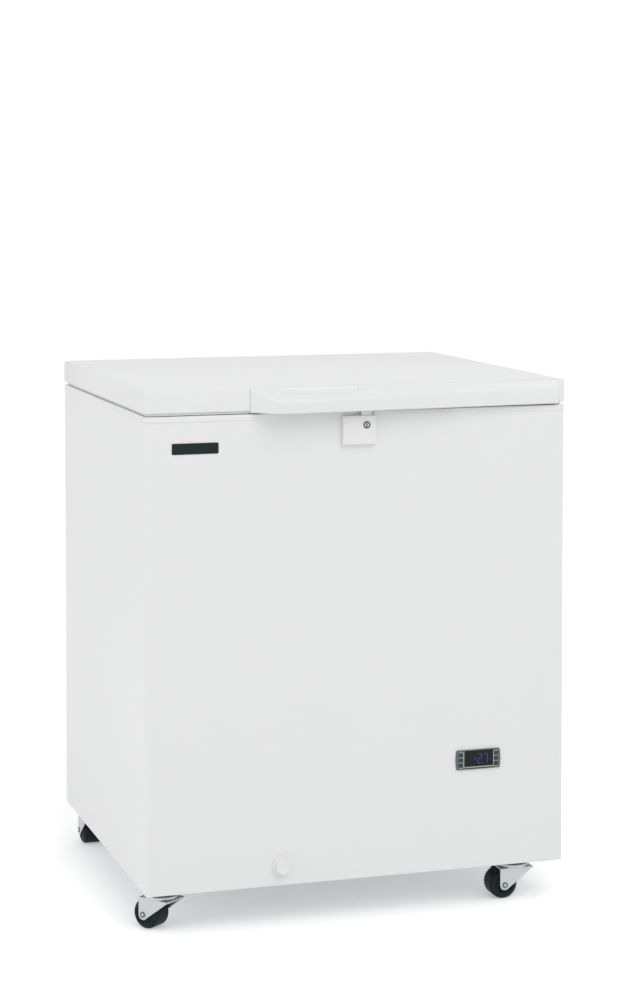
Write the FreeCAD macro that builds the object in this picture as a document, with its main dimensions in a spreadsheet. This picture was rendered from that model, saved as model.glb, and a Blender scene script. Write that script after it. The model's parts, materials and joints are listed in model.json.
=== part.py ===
"""A small low-temperature chest freezer on four swivel casters.

The frame is +Z up with X to the right along the front, Y to the back, and the origin on the floor under
the middle of the box. Lengths are millimetres. Every driving size is a cell of the sheet "sizes".
A place or a length in this file is an expression in the sheet's own words.
"""
import FreeCAD, Part
import math
import os
import re

import Sketcher

V = FreeCAD.Vector
X_AXIS, Z_AXIS = V(1, 0, 0), V(0, 0, 1)
PAST = "1"  # how far a cut runs past the faces it opens

SIZES = [
    ("cabinet_wide", 720, "cabinet and lid, left to right"),
    ("cabinet_deep", 625, "cabinet and lid, front to back"),
    ("cabinet_tall", 769, "underside of the base to the top of the trim"),
    ("ground_gap", 68, "floor to the underside of the base, the casters' height"),
    ("lid_gap", 5, "trim to the lid's underside, filled by the gasket"),
    ("lid_thick", 38, "lid, underside to top"),
    ("handle_reach", 48, "handle, how far it stands out in front"),
    ("hinge_reach", 22, "hinges, how far they stand out behind"),
    ("sheet_thick", 1, "steel sheet of shell, back, base and lid"),
    ("shell_round", 3, "outer bend radius of the shell's upright edges"),
    ("trim_proud", 1, "trim stands this far out of the shell"),
    ("trim_skirt", 9.4, "height of the trim's skirt"),
    ("trim_plate", 3, "thickness of the trim's top"),
    ("wall_foam", 85, "outer face to the tank's inner face"),
    ("floor_foam", 87, "underside of the base to the tank's floor"),
    ("liner_thick", 1, "tank sheet"),
    ("bay_wide", 205, "compressor bay, left to right"),
    ("bay_tall", 238, "compressor bay, from the base up"),
    ("bay_cover", 82, "foam over the compressor bay"),
    ("coil_section", 8, "evaporator tube, squared against the tank"),
    ("coil_spacing", 55, "evaporator, turn to turn"),
    ("coil_turns", 6, "turns of the evaporator"),
    ("coil_low", 365, "underside of the base to the evaporator's lowest turn"),
    ("pan_rim", 16, "rim of the base pan"),
    ("plug_deep", 20, "lid plug, how far it reaches into the tank"),
    ("plug_gap", 14, "lid plug to the tank wall"),
    ("lid_liner_thick", 1.5, "inner lid moulding"),
    ("lid_round", 5, "rounded left and right top edges of the lid"),
    ("gasket_inset", 4, "lid edge to the gasket"),
    ("gasket_wide", 24, "gasket, across"),
    ("seal_gap", 0.3, "gasket to the trim"),
    ("handle_start", 173.8, "cabinet's left edge to the handle's left seam"),
    ("handle_bevel", 37, "length of the handle's slanted left end"),
    ("handle_middle", 521, "cabinet's left edge to the handle's middle section"),
    ("handle_right_gap", 12.5, "handle's right end to the cabinet's right edge"),
    ("handle_mid_reach", 22, "handle reach at its middle section"),
    ("handle_end_reach", 7, "handle reach at its right end"),
    ("handle_drop", 22, "lid top to the front edge at the left"),
    ("handle_mid_drop", 14, "lid top to the front edge at the middle"),
    ("handle_end_drop", 12.5, "lid top to the front edge at the right"),
    ("handle_hang", 2.5, "handle below the lid's underside"),
    ("handle_edge", 3, "eased front edge of the handle"),
    ("handle_wall", 4, "front wall of the handle"),
    ("hollow_roof", 13.5, "height of the hand hollow"),
    ("hollow_start", 222, "cabinet's left edge to the hand hollow"),
    ("hollow_end", 520, "cabinet's left edge to the hollow's right end"),
    ("dish_start", 219, "cabinet's left edge to the shallow dish on the handle"),
    ("dish_end", 357, "cabinet's left edge to the dish's right end"),
    ("dish_near", 3, "lid front to the dish"),
    ("dish_far", 24, "lid front to the dish's front edge"),
    ("dish_deep", 3.4, "depth of the dish beside the lid"),
    ("dish_rim", 1.2, "depth of the dish at its front edge"),
    ("plate_start", 328, "cabinet's left edge to the lock housing"),
    ("plate_wide", 56, "lock housing, across"),
    ("plate_drop", 6.5, "trim's top to the lock housing's top"),
    ("plate_tall", 47.5, "lock housing, height"),
    ("plate_proud", 8, "lock housing, how far it stands out"),
    ("plate_wall", 1.5, "lock housing wall"),
    ("barrel_inset", 15.5, "lock housing's right edge to the barrel's middle"),
    ("barrel_drop", 15.7, "lock housing's top to the barrel's middle"),
    ("barrel_face", 6.2, "lock barrel, radius of its face"),
    ("barrel_body", 5, "lock barrel, radius behind the face"),
    ("running_gap", 0.06, "clearance of parts that turn in each other"),
    ("cam_reach", 10, "lock cam, barrel to its peg"),
    ("cam_thick", 2, "lock cam plate"),
    ("cam_half", 3.3, "lock cam, half its width"),
    ("cam_collar", 1.6, "lock cam's rim round the barrel"),
    ("peg_radius", 1.6, "lock cam's peg"),
    ("strike_thick", 1.2, "strike sheet"),
    ("strike_back", 5, "lid front to the back of the strike's tongue"),
    ("strike_half", 9, "strike, half its width"),
    ("strike_gap", 0.5, "strike to the lock's parts"),
    ("badge_start", 44, "cabinet's left edge to the name plate"),
    ("badge_wide", 77, "name plate, across"),
    ("badge_drop", 43.2, "trim's top to the name plate's top"),
    ("badge_tall", 17.8, "name plate, height"),
    ("badge_thick", 1.4, "name plate, thickness"),
    ("badge_round", 2, "name plate, corner radius"),
    ("panel_right", 113.8, "cabinet's right edge to the controller"),
    ("panel_wide", 78.7, "controller bezel, across"),
    ("panel_low", 166, "underside of the base to the controller"),
    ("panel_tall", 32.5, "controller bezel, height"),
    ("panel_proud", 4, "controller bezel, how far it stands out of the shell"),
    ("panel_round", 3, "controller bezel, corner radius"),
    ("case_deep", 58, "controller case behind the shell"),
    ("case_inset", 3.6, "bezel edge to the case"),
    ("window_start", 15.1, "bezel's left edge to the window"),
    ("window_wide", 50.8, "controller window, across"),
    ("window_tall", 22, "controller window, height"),
    ("key_wide", 8.2, "key, across"),
    ("key_tall", 7.6, "key, height"),
    ("key_pitch", 8.6, "key to key"),
    ("key_inset", 7.9, "bezel edge to the keys' middle"),
    ("key_gap", 0.15, "key to its hole"),
    ("key_proud", 0.5, "key above the bezel"),
    ("key_long", 3.6, "key, front to back"),
    ("drain_across", 226, "cabinet's left edge to the drain"),
    ("drain_up", 32, "underside of the base to the drain"),
    ("drain_radius", 10, "drain tube, outer radius"),
    ("drain_bore", 8, "drain tube, inner radius"),
    ("drain_inset", 62, "tank front to the drain hole's middle"),
    ("drain_bend", 24, "drain tube's bend"),
    ("cap_flange", 16.5, "drain cap, radius of its flange"),
    ("cap_flange_thick", 3, "drain cap, flange thickness"),
    ("cap_knob", 13, "drain cap, radius of its knob"),
    ("cap_knob_tall", 10, "drain cap, height of its knob"),
    ("cap_stem", 22, "drain cap, length of its stem"),
    ("cap_scallop", 4, "drain cap, radius of its finger scallops"),
    ("caster_left", 37.5, "cabinet's left edge to the left casters"),
    ("caster_right", 71.5, "cabinet's right edge to the right casters"),
    ("caster_front", 50, "cabinet's front to the front casters"),
    ("caster_back", 65, "cabinet's back to the rear casters"),
    ("wheel_radius", 24.5, "caster wheel, radius"),
    ("wheel_wide", 38, "caster wheel, width"),
    ("wheel_edge", 5, "caster wheel, eased edge"),
    ("wheel_dish", 3, "caster wheel, depth of the recess in its sides"),
    ("trail", 21, "swivel axis to the axle"),
    ("axle_radius", 3.9, "axle, radius"),
    ("rivet_radius", 5.2, "axle head, radius"),
    ("rivet_tall", 1.8, "axle head, height"),
    ("fork_thick", 2.5, "fork sheet"),
    ("fork_gap", 1.2, "wheel to fork leg"),
    ("fork_shoulder", 28.4, "axle to the fork's top"),
    ("fork_behind", 8.7, "axle to the fork's trailing edge"),
    ("fork_ahead", 50.5, "axle to the fork's leading shoulder"),
    ("fork_nose", 1.5, "fork leg, height of its leading end"),
    ("fork_tip", 8.7, "fork leg, radius round the axle"),
    ("race_radius", 28, "swivel race, radius"),
    ("race_upper", 23, "fixed race, radius"),
    ("race_gap", 0.3, "swivel race to the fixed race"),
    ("race_tall", 5.6, "swivel race, height"),
    ("kingpin_radius", 4.5, "swivel pin, radius"),
    ("kingpin_head", 8, "swivel pin head, radius"),
    ("kingpin_head_tall", 2.6, "swivel pin head, height"),
    ("plate_side", 60, "caster plate, side"),
    ("plate_thick", 2.5, "caster plate, thickness"),
    ("plate_round", 8, "caster plate, corner radius"),
    ("bolt_spread", 44, "caster bolts, hole to hole"),
    ("bolt_radius", 3, "caster bolt, radius"),
    ("bolt_head", 5, "caster bolt head, radius"),
    ("bolt_head_tall", 3.2, "caster bolt head, height"),
    ("hinge_inset", 110, "cabinet side to the hinge's middle"),
    ("hinge_wide", 56, "hinge, across"),
    ("hinge_low", 92, "pivot to the foot of the hinge bracket"),
    ("leaf_high", 42, "pivot to the top of the lid leaf"),
    ("leaf_rise", 9, "pivot to the foot of the lid leaf's plate"),
    ("hinge_sheet", 2.5, "hinge plate"),
    ("knuckle_radius", 8, "hinge knuckle, radius"),
    ("knuckle_wide", 28, "lid leaf's knuckle, across"),
    ("knuckle_gap", 0.3, "between knuckles"),
    ("pivot_drop", 2, "trim top to the hinge pin"),
    ("pin_radius", 3, "hinge pin, radius"),
    ("screw_head", 4, "panel screw head, radius"),
    ("screw_head_tall", 1.8, "panel screw head, height"),
    ("screw_shank", 1.9, "panel screw, radius"),
    ("screw_long", 3.4, "panel screw, length under the head"),
    ("grille_low", 30, "underside of the base to the rear grille"),
    ("grille_tall", 190, "rear grille, height"),
    ("grille_wide", 176, "rear grille, across"),
    ("grille_right", 16, "cabinet's right edge to the rear grille"),
    ("grille_lap", 9, "grille's lap over its cut-out"),
    ("grille_deep", 4, "grille behind its flange"),
    ("louvre_spacing", 13, "louvre to louvre"),
    ("louvre_inset", 22.5, "grille's edge to the ends of its louvres"),
    ("louvre_open", 5, "louvre opening"),
    ("louvre_count", 8, "louvres of the rear grille"),
    ("vent_low", 42, "underside of the base to the side grille"),
    ("vent_tall", 128, "side grille, height"),
    ("vent_wide", 250, "side grille, front to back"),
    ("vent_front", 190, "cabinet's front to the side grille"),
    ("vent_count", 7, "louvres of the side grille"),
    ("compressor_back", 330, "cabinet's front to the compressor"),
    ("compressor_radius", 76, "compressor shell, radius"),
    ("compressor_tall", 158, "compressor shell, height"),
    ("compressor_dome", 26, "compressor shell, height of its domed ends"),
    ("seam_radius", 80, "compressor seam, radius"),
    ("seam_up", 86.9, "compressor foot plate to its seam"),
    ("seam_thick", 4, "compressor seam, thickness"),
    ("foot_long", 190, "compressor foot plate, front to back"),
    ("foot_wide", 120, "compressor foot plate, across"),
    ("foot_thick", 3, "compressor foot plate, thickness"),
    ("foot_spread", 160, "compressor grommets, front to back"),
    ("foot_across", 92, "compressor grommets, across"),
    ("grommet_radius", 11, "grommet, radius"),
    ("grommet_tall", 16, "grommet, height"),
    ("grommet_stud", 4, "grommet stud, radius"),
    ("relay_wide", 58, "relay box, front to back"),
    ("relay_tall", 62, "relay box, height"),
    ("relay_deep", 14, "relay box, out from the compressor"),
    ("drier_back", 480, "cabinet's front to the filter drier"),
    ("drier_radius", 12, "filter drier, radius"),
    ("drier_long", 50, "filter drier, length of its barrel"),
    ("drier_drop", 14, "bay's top to the filter drier"),
    ("pipe_radius", 4, "refrigerant pipe, radius"),
    ("pipe_bend", 16, "refrigerant pipe's bend"),
    ("pipe_drop", 116, "bay's top to the pipes at the compressor"),
    ("inlet_wide", 30, "power inlet, across"),
    ("inlet_tall", 24, "power inlet, height"),
    ("inlet_deep", 18, "power inlet, behind the grille"),
    ("inlet_proud", 2.5, "power inlet's lip"),
    ("inlet_up", 12, "rear grille's foot to the power inlet"),
    ("turn_front_left", -53, "rest angle of the front left caster"),
    ("turn_front_right", 0, "rest angle of the front right caster"),
    ("turn_rear_left", -90, "rest angle of the rear left caster"),
    ("turn_rear_right", -145, "rest angle of the rear right caster"),
]

doc = FreeCAD.newDocument("chest_freezer")
sheet = doc.addObject("Spreadsheet::Sheet", "sizes")
for row, (name, number, note) in enumerate(SIZES, start=1):
    sheet.set(f"A{row}", name)
    sheet.set(f"B{row}", str(number))
    sheet.set(f"C{row}", note)
    sheet.setAlias(f"B{row}", name)
doc.recompute()

WORDS = re.compile(r"\b(" + "|".join(name for name, _, _ in SIZES) + r")\b")


def cells(expression):
    """The expression with each of the sheet's words written as its cell."""
    return WORDS.sub(r"sizes.\1", str(expression))


def number(expression):
    """The value of an expression now."""
    return float(sheet.evalExpression(cells(expression)))


def bind(thing, path, expression):
    """Ties a property of a thing to an expression of the sizes."""
    thing.setExpression(path, cells(expression))


# Places that several pieces share
LEFT = "(-cabinet_wide / 2)"
RIGHT = "(cabinet_wide / 2)"
FRONT = "((handle_reach - cabinet_deep - hinge_reach) / 2)"
BACK = f"({FRONT} + cabinet_deep)"
BASE = "ground_gap"
TOP = "(ground_gap + cabinet_tall)"
LID_LOW = f"({TOP} + lid_gap)"
LID_TOP = f"({LID_LOW} + lid_thick)"
SHELL_LEFT = f"({LEFT} + trim_proud)"
SHELL_RIGHT = f"({RIGHT} - trim_proud)"
SHELL_FRONT = f"({FRONT} + trim_proud)"
SHELL_BACK = f"({BACK} - trim_proud)"
SHELL_TOP = f"({TOP} - trim_plate)"
FOAM_LEFT = f"({SHELL_LEFT} + sheet_thick)"
FOAM_RIGHT = f"({SHELL_RIGHT} - sheet_thick)"
FOAM_FRONT = f"({SHELL_FRONT} + sheet_thick)"
FOAM_BACK = f"({SHELL_BACK} - sheet_thick)"
FOAM_LOW = f"({BASE} + sheet_thick)"
TANK_LEFT = f"({LEFT} + wall_foam)"
TANK_RIGHT = f"({RIGHT} - wall_foam)"
TANK_FRONT = f"({FRONT} + wall_foam)"
TANK_BACK = f"({BACK} - wall_foam)"
TANK_FLOOR = f"({BASE} + floor_foam)"
BAY_LEFT = f"({RIGHT} - bay_wide)"
BAY_TOP = f"({BASE} + bay_tall)"
STEP_LEFT = f"({BAY_LEFT} - wall_foam)"
STEP_TOP = f"({BAY_TOP} + bay_cover)"
PIVOT_BACK = f"({BACK} + hinge_reach - knuckle_radius)"
PIVOT_UP = f"({TOP} - pivot_drop)"
PLATE_LEFT = f"({LEFT} + plate_start)"
PLATE_RIGHT = f"({PLATE_LEFT} + plate_wide)"
PLATE_HIGH = f"({TOP} - plate_drop)"
PLATE_LOW = f"({PLATE_HIGH} - plate_tall)"
LOCK_X = f"({PLATE_RIGHT} - barrel_inset)"
LOCK_Z = f"({PLATE_HIGH} - barrel_drop)"
DRAIN_X = f"({LEFT} + drain_across)"
DRAIN_Z = f"({BASE} + drain_up)"
BAY_X = f"({BAY_LEFT} / 2 + {FOAM_RIGHT} / 2)"


def plus(place, extra):
    return f"({place} + ({extra}))"


def minus(place, less):
    return f"({place} - ({less}))"


nodes = {}


def keep(label, thing):
    """Names a finished sub-part, which names its file."""
    thing.Label = label
    nodes[label] = thing
    return thing


def new_body(name):
    return doc.addObject("PartDesign::Body", name)


def own_plane(body, role):
    return next(f for f in body.Origin.OriginFeatures if f.Role == role)


def sketch_on(body, role, lift):
    """An empty sketch on one of the body's own planes, raised along its normal."""
    sketch = body.newObject("Sketcher::SketchObject", body.Name + "_sketch")
    sketch.AttachmentSupport = [(own_plane(body, role), "")]
    sketch.MapMode = "FlatFace"
    bind(sketch, "AttachmentOffset.Base.z", lift)
    return sketch


def pin_point(sketch, geometry, point, corner):
    """Holds one point of the sketch at a corner, an (across, up) pair of expressions."""
    for kind, place in (("DistanceX", corner[0]), ("DistanceY", corner[1])):
        index = sketch.addConstraint(Sketcher.Constraint(kind, -1, 1, geometry, point, number(place)))
        bind(sketch, f"Constraints[{index}]", place)


def corner_arc(before, corner, after, radius):
    """The arc that rounds a corner, where it leaves each run, and whether it turns anticlockwise."""
    back, ahead = (before - corner).normalize(), (after - corner).normalize()
    half = back.getAngle(ahead) / 2
    reach = radius / math.tan(half)
    centre = corner + (back + ahead).normalize() * (radius / math.sin(half))
    arrive, leave = corner + back * reach, corner + ahead * reach
    anticlockwise = ahead.cross(back).z > 0
    first, last = (arrive, leave) if anticlockwise else (leave, arrive)
    angles = [math.atan2((end - centre).y, (end - centre).x) for end in (first, last)]
    return Part.ArcOfCircle(Part.Circle(centre, Z_AXIS, radius), *angles), arrive, leave, anticlockwise


def draw_ring(sketch, corners, closed=True):
    """Straight runs through corners; a corner with a third value is rounded to that radius."""
    points = [V(number(c[0]), number(c[1]), 0) for c in corners]
    count = len(points)
    inner = range(count) if closed else range(1, count - 1)
    leave, arrive, arcs, ends = {}, {}, {}, {}
    for i in range(count):
        leave[i] = arrive[i] = points[i]
    for i in inner:
        if len(corners[i]) == 3:
            arc, arrive[i], leave[i], anticlockwise = corner_arc(
                points[i - 1], points[i], points[(i + 1) % count], number(corners[i][2]))
            arcs[i] = sketch.addGeometry(arc)
            ends[i] = (1, 2) if anticlockwise else (2, 1)
    runs = {}
    for i in range(count if closed else count - 1):
        following = (i + 1) % count
        runs[i] = sketch.addGeometry(Part.LineSegment(leave[i], arrive[following]))
    for i in range(count):
        before = runs.get((i - 1) % count)
        after = runs.get(i)
        if i in arcs:
            arc = arcs[i]
            first, last = ends[i]
            sketch.addConstraint(Sketcher.Constraint("Tangent", before, 2, arc, first))
            sketch.addConstraint(Sketcher.Constraint("Tangent", arc, last, after, 1))
            index = sketch.addConstraint(Sketcher.Constraint("Radius", arc, number(corners[i][2])))
            bind(sketch, f"Constraints[{index}]", corners[i][2])
            tip = sketch.addGeometry(Part.Point(points[i]), True)
            sketch.addConstraint(Sketcher.Constraint("PointOnObject", tip, 1, before))
            sketch.addConstraint(Sketcher.Constraint("PointOnObject", tip, 1, after))
            pin_point(sketch, tip, 1, corners[i])
        elif before is None:
            pin_point(sketch, after, 1, corners[i])
        elif after is None or (not closed and i == count - 1):
            pin_point(sketch, before, 2, corners[i])
        else:
            sketch.addConstraint(Sketcher.Constraint("Coincident", before, 2, after, 1))
            pin_point(sketch, after, 1, corners[i])


def draw_circle(sketch, across, up, radius):
    circle = sketch.addGeometry(Part.Circle(V(number(across), number(up), 0), V(0, 0, 1), number(radius)))
    pin_point(sketch, circle, 3, (across, up))
    index = sketch.addConstraint(Sketcher.Constraint("Radius", circle, number(radius)))
    bind(sketch, f"Constraints[{index}]", radius)


def draw(sketch, rings):
    """Draws rings of corners, and circles given as ("circle", across, up, radius)."""
    for ring in rings:
        if ring[0] == "circle":
            draw_circle(sketch, *ring[1:])
        else:
            draw_ring(sketch, ring)


def prism(body, role, low, high, *rings, cut=False):
    """Adds, or cuts, the rings between two places along the plane's own axis: X for YZ, Y for XZ, Z for XY."""
    lift = f"-({high})" if role == "XZ_Plane" else low
    sketch = sketch_on(body, role, lift)
    draw(sketch, rings)
    kind = "PartDesign::Pocket" if cut else "PartDesign::Pad"
    feature = body.newObject(kind, body.Name + ("_cut" if cut else "_pad"))
    feature.Profile = sketch
    feature.Reversed = cut
    bind(feature, "Length", f"({high}) - ({low})")
    return feature


def cut(body, role, low, high, *rings):
    return prism(body, role, low, high, *rings, cut=True)


def turned(body, corners, kind="PartDesign::Revolution", role="XZ_Plane"):
    """A half profile of (radius, height) corners turned about the body's own upright axis."""
    sketch = sketch_on(body, role, "0")
    draw(sketch, [corners])
    feature = body.newObject(kind, body.Name + "_turn")
    feature.Profile = sketch
    feature.ReferenceAxis = (sketch, ["V_Axis"])
    feature.Angle = 360
    return feature


def repeat(body, feature, role_axis, step, count, reverse=False):
    """Copies a feature in a row along one of the body's own axes."""
    pattern = body.newObject("PartDesign::LinearPattern", body.Name + "_row")
    pattern.Originals = [feature]
    axis = next(f for f in body.Origin.OriginFeatures if f.Role == role_axis)
    pattern.Direction = (axis, [""])
    pattern.Reversed = reverse
    bind(pattern, "Occurrences", count)
    bind(pattern, "Length", f"({step}) * (({count}) - 1)")
    body.Tip = pattern
    return pattern


def tube(body, role, path, radius, start_role, start_lift, centre, bore=None):
    """A round bar or tube along a path of corners in one plane."""
    spine = sketch_on(body, role, path["lift"])
    draw_ring(spine, path["corners"], closed=False)
    profile = sketch_on(body, start_role, start_lift)
    draw_circle(profile, centre[0], centre[1], radius)
    if bore:
        draw_circle(profile, centre[0], centre[1], bore)
    feature = body.newObject("PartDesign::AdditivePipe", body.Name + "_pipe")
    feature.Profile = profile
    feature.Spine = (spine, [])
    return feature


def inner_ring(left, right, low, high, inset):
    """The rectangle that lies this far inside another."""
    return box_ring(plus(left, inset), minus(right, inset), plus(low, inset), minus(high, inset))


def box_ring(left, right, low, high, radius=None):
    """The four corners of a rectangle, rounded if a radius is given."""
    ring = [(left, low), (right, low), (right, high), (left, high)]
    return [corner + (radius,) for corner in ring] if radius else ring


def group(label, members):
    """Separate like solids that share one node."""
    compound = doc.addObject("Part::Compound", label)
    compound.Links = members
    return keep(label, compound)


def place(thing, across="0", deep="0", up="0", axis=None, angle="0"):
    """Sets a sub-part down at a place, turned about an axis."""
    thing.Placement = FreeCAD.Placement(V(), FreeCAD.Rotation(axis or Z_AXIS, number(angle)))
    for path, value in (("x", across), ("y", deep), ("z", up)):
        bind(thing, f"Placement.Base.{path}", value)
    if axis is None and angle != "0":
        bind(thing, "Placement.Rotation.Angle", angle)
    return thing


# Rear grille and side grille places
GRILLE_RIGHT = minus(RIGHT, "grille_right")
GRILLE_LEFT = minus(GRILLE_RIGHT, "grille_wide")
GRILLE_LOW = plus(BASE, "grille_low")
GRILLE_HIGH = plus(GRILLE_LOW, "grille_tall")
VENT_FRONT = plus(FRONT, "vent_front")
VENT_BACK = plus(VENT_FRONT, "vent_wide")
VENT_LOW = plus(BASE, "vent_low")
VENT_HIGH = plus(VENT_LOW, "vent_tall")
PANEL_RIGHT = minus(RIGHT, "panel_right")
PANEL_LEFT = minus(PANEL_RIGHT, "panel_wide")
PANEL_LOW = plus(BASE, "panel_low")
PANEL_HIGH = plus(PANEL_LOW, "panel_tall")
COIL_LOW = plus(BASE, "coil_low")
COMPRESSOR_Y = plus(FRONT, "compressor_back")
DRIER_Y = plus(FRONT, "drier_back")
DRIER_HIGH = minus(BAY_TOP, "drier_drop")
DRIER_LOW = minus(DRIER_HIGH, "drier_long + 2 * drier_radius")
PIPE_Z = minus(BAY_TOP, "pipe_drop")

CASTERS = {
    "front_left": (plus(LEFT, "caster_left"), plus(FRONT, "caster_front"), "turn_front_left"),
    "front_right": (minus(RIGHT, "caster_right"), plus(FRONT, "caster_front"), "turn_front_right"),
    "rear_left": (plus(LEFT, "caster_left"), minus(BACK, "caster_back"), "turn_rear_left"),
    "rear_right": (minus(RIGHT, "caster_right"), minus(BACK, "caster_back"), "turn_rear_right"),
}
HINGES = {"left": plus(LEFT, "hinge_inset"), "right": minus(RIGHT, "hinge_inset")}


def grille_screw_places():
    """Middles of the rear grille's corner screws."""
    inset = "grille_lap / 2"
    return [(x, z) for x in (plus(GRILLE_LEFT, inset), minus(GRILLE_RIGHT, inset))
            for z in (plus(GRILLE_LOW, inset), minus(GRILLE_HIGH, inset))]


def hinge_screw_places(x):
    """Middles of the two screws of one hinge bracket."""
    return [(x, minus(PIVOT_UP, f"hinge_low * {share}")) for share in (0.4, 0.85)]


def screw_holes(places):
    return [("circle", x, z, "screw_shank") for x, z in places]


def bolt_places():
    """Middles of the sixteen caster bolts."""
    half = "bolt_spread / 2"
    return [
        (f"({x}) + ({sx}) * ({half})", f"({y}) + ({sy}) * ({half})")
        for x, y, _ in CASTERS.values()
        for sx in (-1, 1)
        for sy in (-1, 1)
    ]


# The cabinet's shells
def outer_shell():
    """Front and sides bent from one sheet, with a return flange at the foot."""
    body = new_body("outer_shell")
    inner_round = "shell_round - sheet_thick"
    plan = [
        (SHELL_LEFT, SHELL_BACK), (SHELL_LEFT, SHELL_FRONT, "shell_round"),
        (SHELL_RIGHT, SHELL_FRONT, "shell_round"), (SHELL_RIGHT, SHELL_BACK),
        (FOAM_RIGHT, SHELL_BACK), (FOAM_RIGHT, FOAM_FRONT, inner_round),
        (FOAM_LEFT, FOAM_FRONT, inner_round), (FOAM_LEFT, SHELL_BACK),
    ]
    prism(body, "XY_Plane", BASE, SHELL_TOP, plan)
    inset = "case_inset"
    cut(body, "XZ_Plane", minus(SHELL_FRONT, "sheet_thick"), plus(FOAM_FRONT, "sheet_thick"),
        box_ring(plus(PANEL_LEFT, f"{inset} - key_gap"), minus(PANEL_RIGHT, f"{inset} - key_gap"),
                 plus(PANEL_LOW, f"{inset} - key_gap"), minus(PANEL_HIGH, f"{inset} - key_gap")),
        ("circle", DRAIN_X, DRAIN_Z, "drain_radius"))
    cut(body, "YZ_Plane", minus(FOAM_RIGHT, "sheet_thick"), plus(SHELL_RIGHT, "sheet_thick"),
        box_ring(plus(VENT_FRONT, "grille_lap"), minus(VENT_BACK, "grille_lap"),
                 plus(VENT_LOW, "grille_lap"), minus(VENT_HIGH, "grille_lap")))
    return keep("outer_shell", body)


def back_panel():
    body = new_body("back_panel")
    prism(body, "XZ_Plane", FOAM_BACK, SHELL_BACK,
          box_ring(FOAM_LEFT, FOAM_RIGHT, FOAM_LOW, SHELL_TOP),
          box_ring(plus(GRILLE_LEFT, "grille_lap"), minus(GRILLE_RIGHT, "grille_lap"),
                   plus(GRILLE_LOW, "grille_lap"), minus(GRILLE_HIGH, "grille_lap")),
          *screw_holes(grille_screw_places() + [p for x in HINGES.values() for p in hinge_screw_places(x)]))
    return keep("back_panel", body)


def shell_inside(back):
    """The shell's inner outline from above, rounded at its two front bends."""
    bend = "shell_round - sheet_thick"
    return [(FOAM_LEFT, FOAM_FRONT, bend), (FOAM_RIGHT, FOAM_FRONT, bend),
            (FOAM_RIGHT, back), (FOAM_LEFT, back)]


def base_pan():
    """Floor tray of the cabinet, with an upright rim and the caster bolt holes."""
    body = new_body("base_pan")
    prism(body, "XY_Plane", BASE, FOAM_LOW, shell_inside(SHELL_BACK),
          *[("circle", x, y, "bolt_radius") for x, y in bolt_places()])
    rim_high = plus(BASE, "pan_rim")
    prism(body, "XY_Plane", FOAM_LOW, rim_high, shell_inside(FOAM_BACK),
          box_ring(plus(FOAM_LEFT, "sheet_thick"), minus(FOAM_RIGHT, "sheet_thick"),
                   plus(FOAM_FRONT, "sheet_thick"), minus(FOAM_BACK, "sheet_thick")))
    return keep("base_pan", body)


def tank_profile(grow):
    """The stepped tank seen from the front; its floor is raised over the compressor bay."""
    above = plus(TOP, "lid_thick")
    return [
        (minus(TANK_LEFT, grow), above), (minus(TANK_LEFT, grow), minus(TANK_FLOOR, grow)),
        (plus(STEP_LEFT, grow), minus(TANK_FLOOR, grow)), (plus(STEP_LEFT, grow), minus(STEP_TOP, grow)),
        (plus(TANK_RIGHT, grow), minus(STEP_TOP, grow)), (plus(TANK_RIGHT, grow), above),
    ]


def drain_path():
    """From the tank's floor down and forward to the cabinet's front."""
    deep = plus(TANK_FRONT, "drain_inset")
    return {
        "lift": DRAIN_X,
        "corners": [(deep, TANK_FLOOR), (deep, DRAIN_Z, "drain_bend"), (SHELL_FRONT, DRAIN_Z)],
    }


def drain_bar(body, bore=None):
    """A bar along the drain's path, or a tube if a bore is given."""
    path = drain_path()
    return tube(body, "YZ_Plane", path, "drain_radius", "XY_Plane", TANK_FLOOR,
                (DRAIN_X, path["corners"][0][0]), bore)


def foam_body():
    """Insulation that fills the room between shell and tank, and leaves the compressor bay free."""
    body = new_body("foam_block")
    rim_in = "sheet_thick"
    outline = [
        (FOAM_LEFT, plus(BASE, "pan_rim")), (plus(FOAM_LEFT, rim_in), plus(BASE, "pan_rim")),
        (plus(FOAM_LEFT, rim_in), FOAM_LOW), (BAY_LEFT, FOAM_LOW), (BAY_LEFT, BAY_TOP),
        (FOAM_RIGHT, BAY_TOP), (FOAM_RIGHT, SHELL_TOP), (FOAM_LEFT, SHELL_TOP),
    ]
    prism(body, "XZ_Plane", plus(FOAM_FRONT, "sheet_thick"), minus(FOAM_BACK, "sheet_thick"), outline)
    upper = box_ring(FOAM_LEFT, BAY_LEFT, plus(BASE, "pan_rim"), SHELL_TOP)
    over = box_ring(FOAM_LEFT, FOAM_RIGHT, BAY_TOP, SHELL_TOP)
    for low in (FOAM_FRONT, minus(FOAM_BACK, "sheet_thick")):
        prism(body, "XZ_Plane", low, plus(low, "sheet_thick"), upper)
        prism(body, "XZ_Plane", low, plus(low, "sheet_thick"), over)
    cut(body, "XZ_Plane", minus(TANK_FRONT, "liner_thick"), plus(TANK_BACK, "liner_thick"),
        tank_profile("liner_thick"))
    cut(body, "XY_Plane", FOAM_LOW, SHELL_TOP, shell_inside(FOAM_BACK),
        inner_ring(FOAM_LEFT, FOAM_RIGHT, FOAM_FRONT, FOAM_BACK, f"-{PAST}"))
    groove = cut(body, "XY_Plane", COIL_LOW, plus(COIL_LOW, "coil_section"),
                 box_ring(*coil_outline("coil_section + liner_thick")))
    repeat(body, groove, "Z_Axis", "coil_spacing", "coil_turns")
    core = new_body("drain_core")
    drain_bar(core)
    bored = doc.addObject("Part::Cut", "foam_body")
    bored.Base = body
    bored.Tool = core
    return keep("foam_body", bored)


def coil_outline(grow):
    return (minus(TANK_LEFT, grow), plus(TANK_RIGHT, grow), minus(TANK_FRONT, grow), plus(TANK_BACK, grow))


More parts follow.
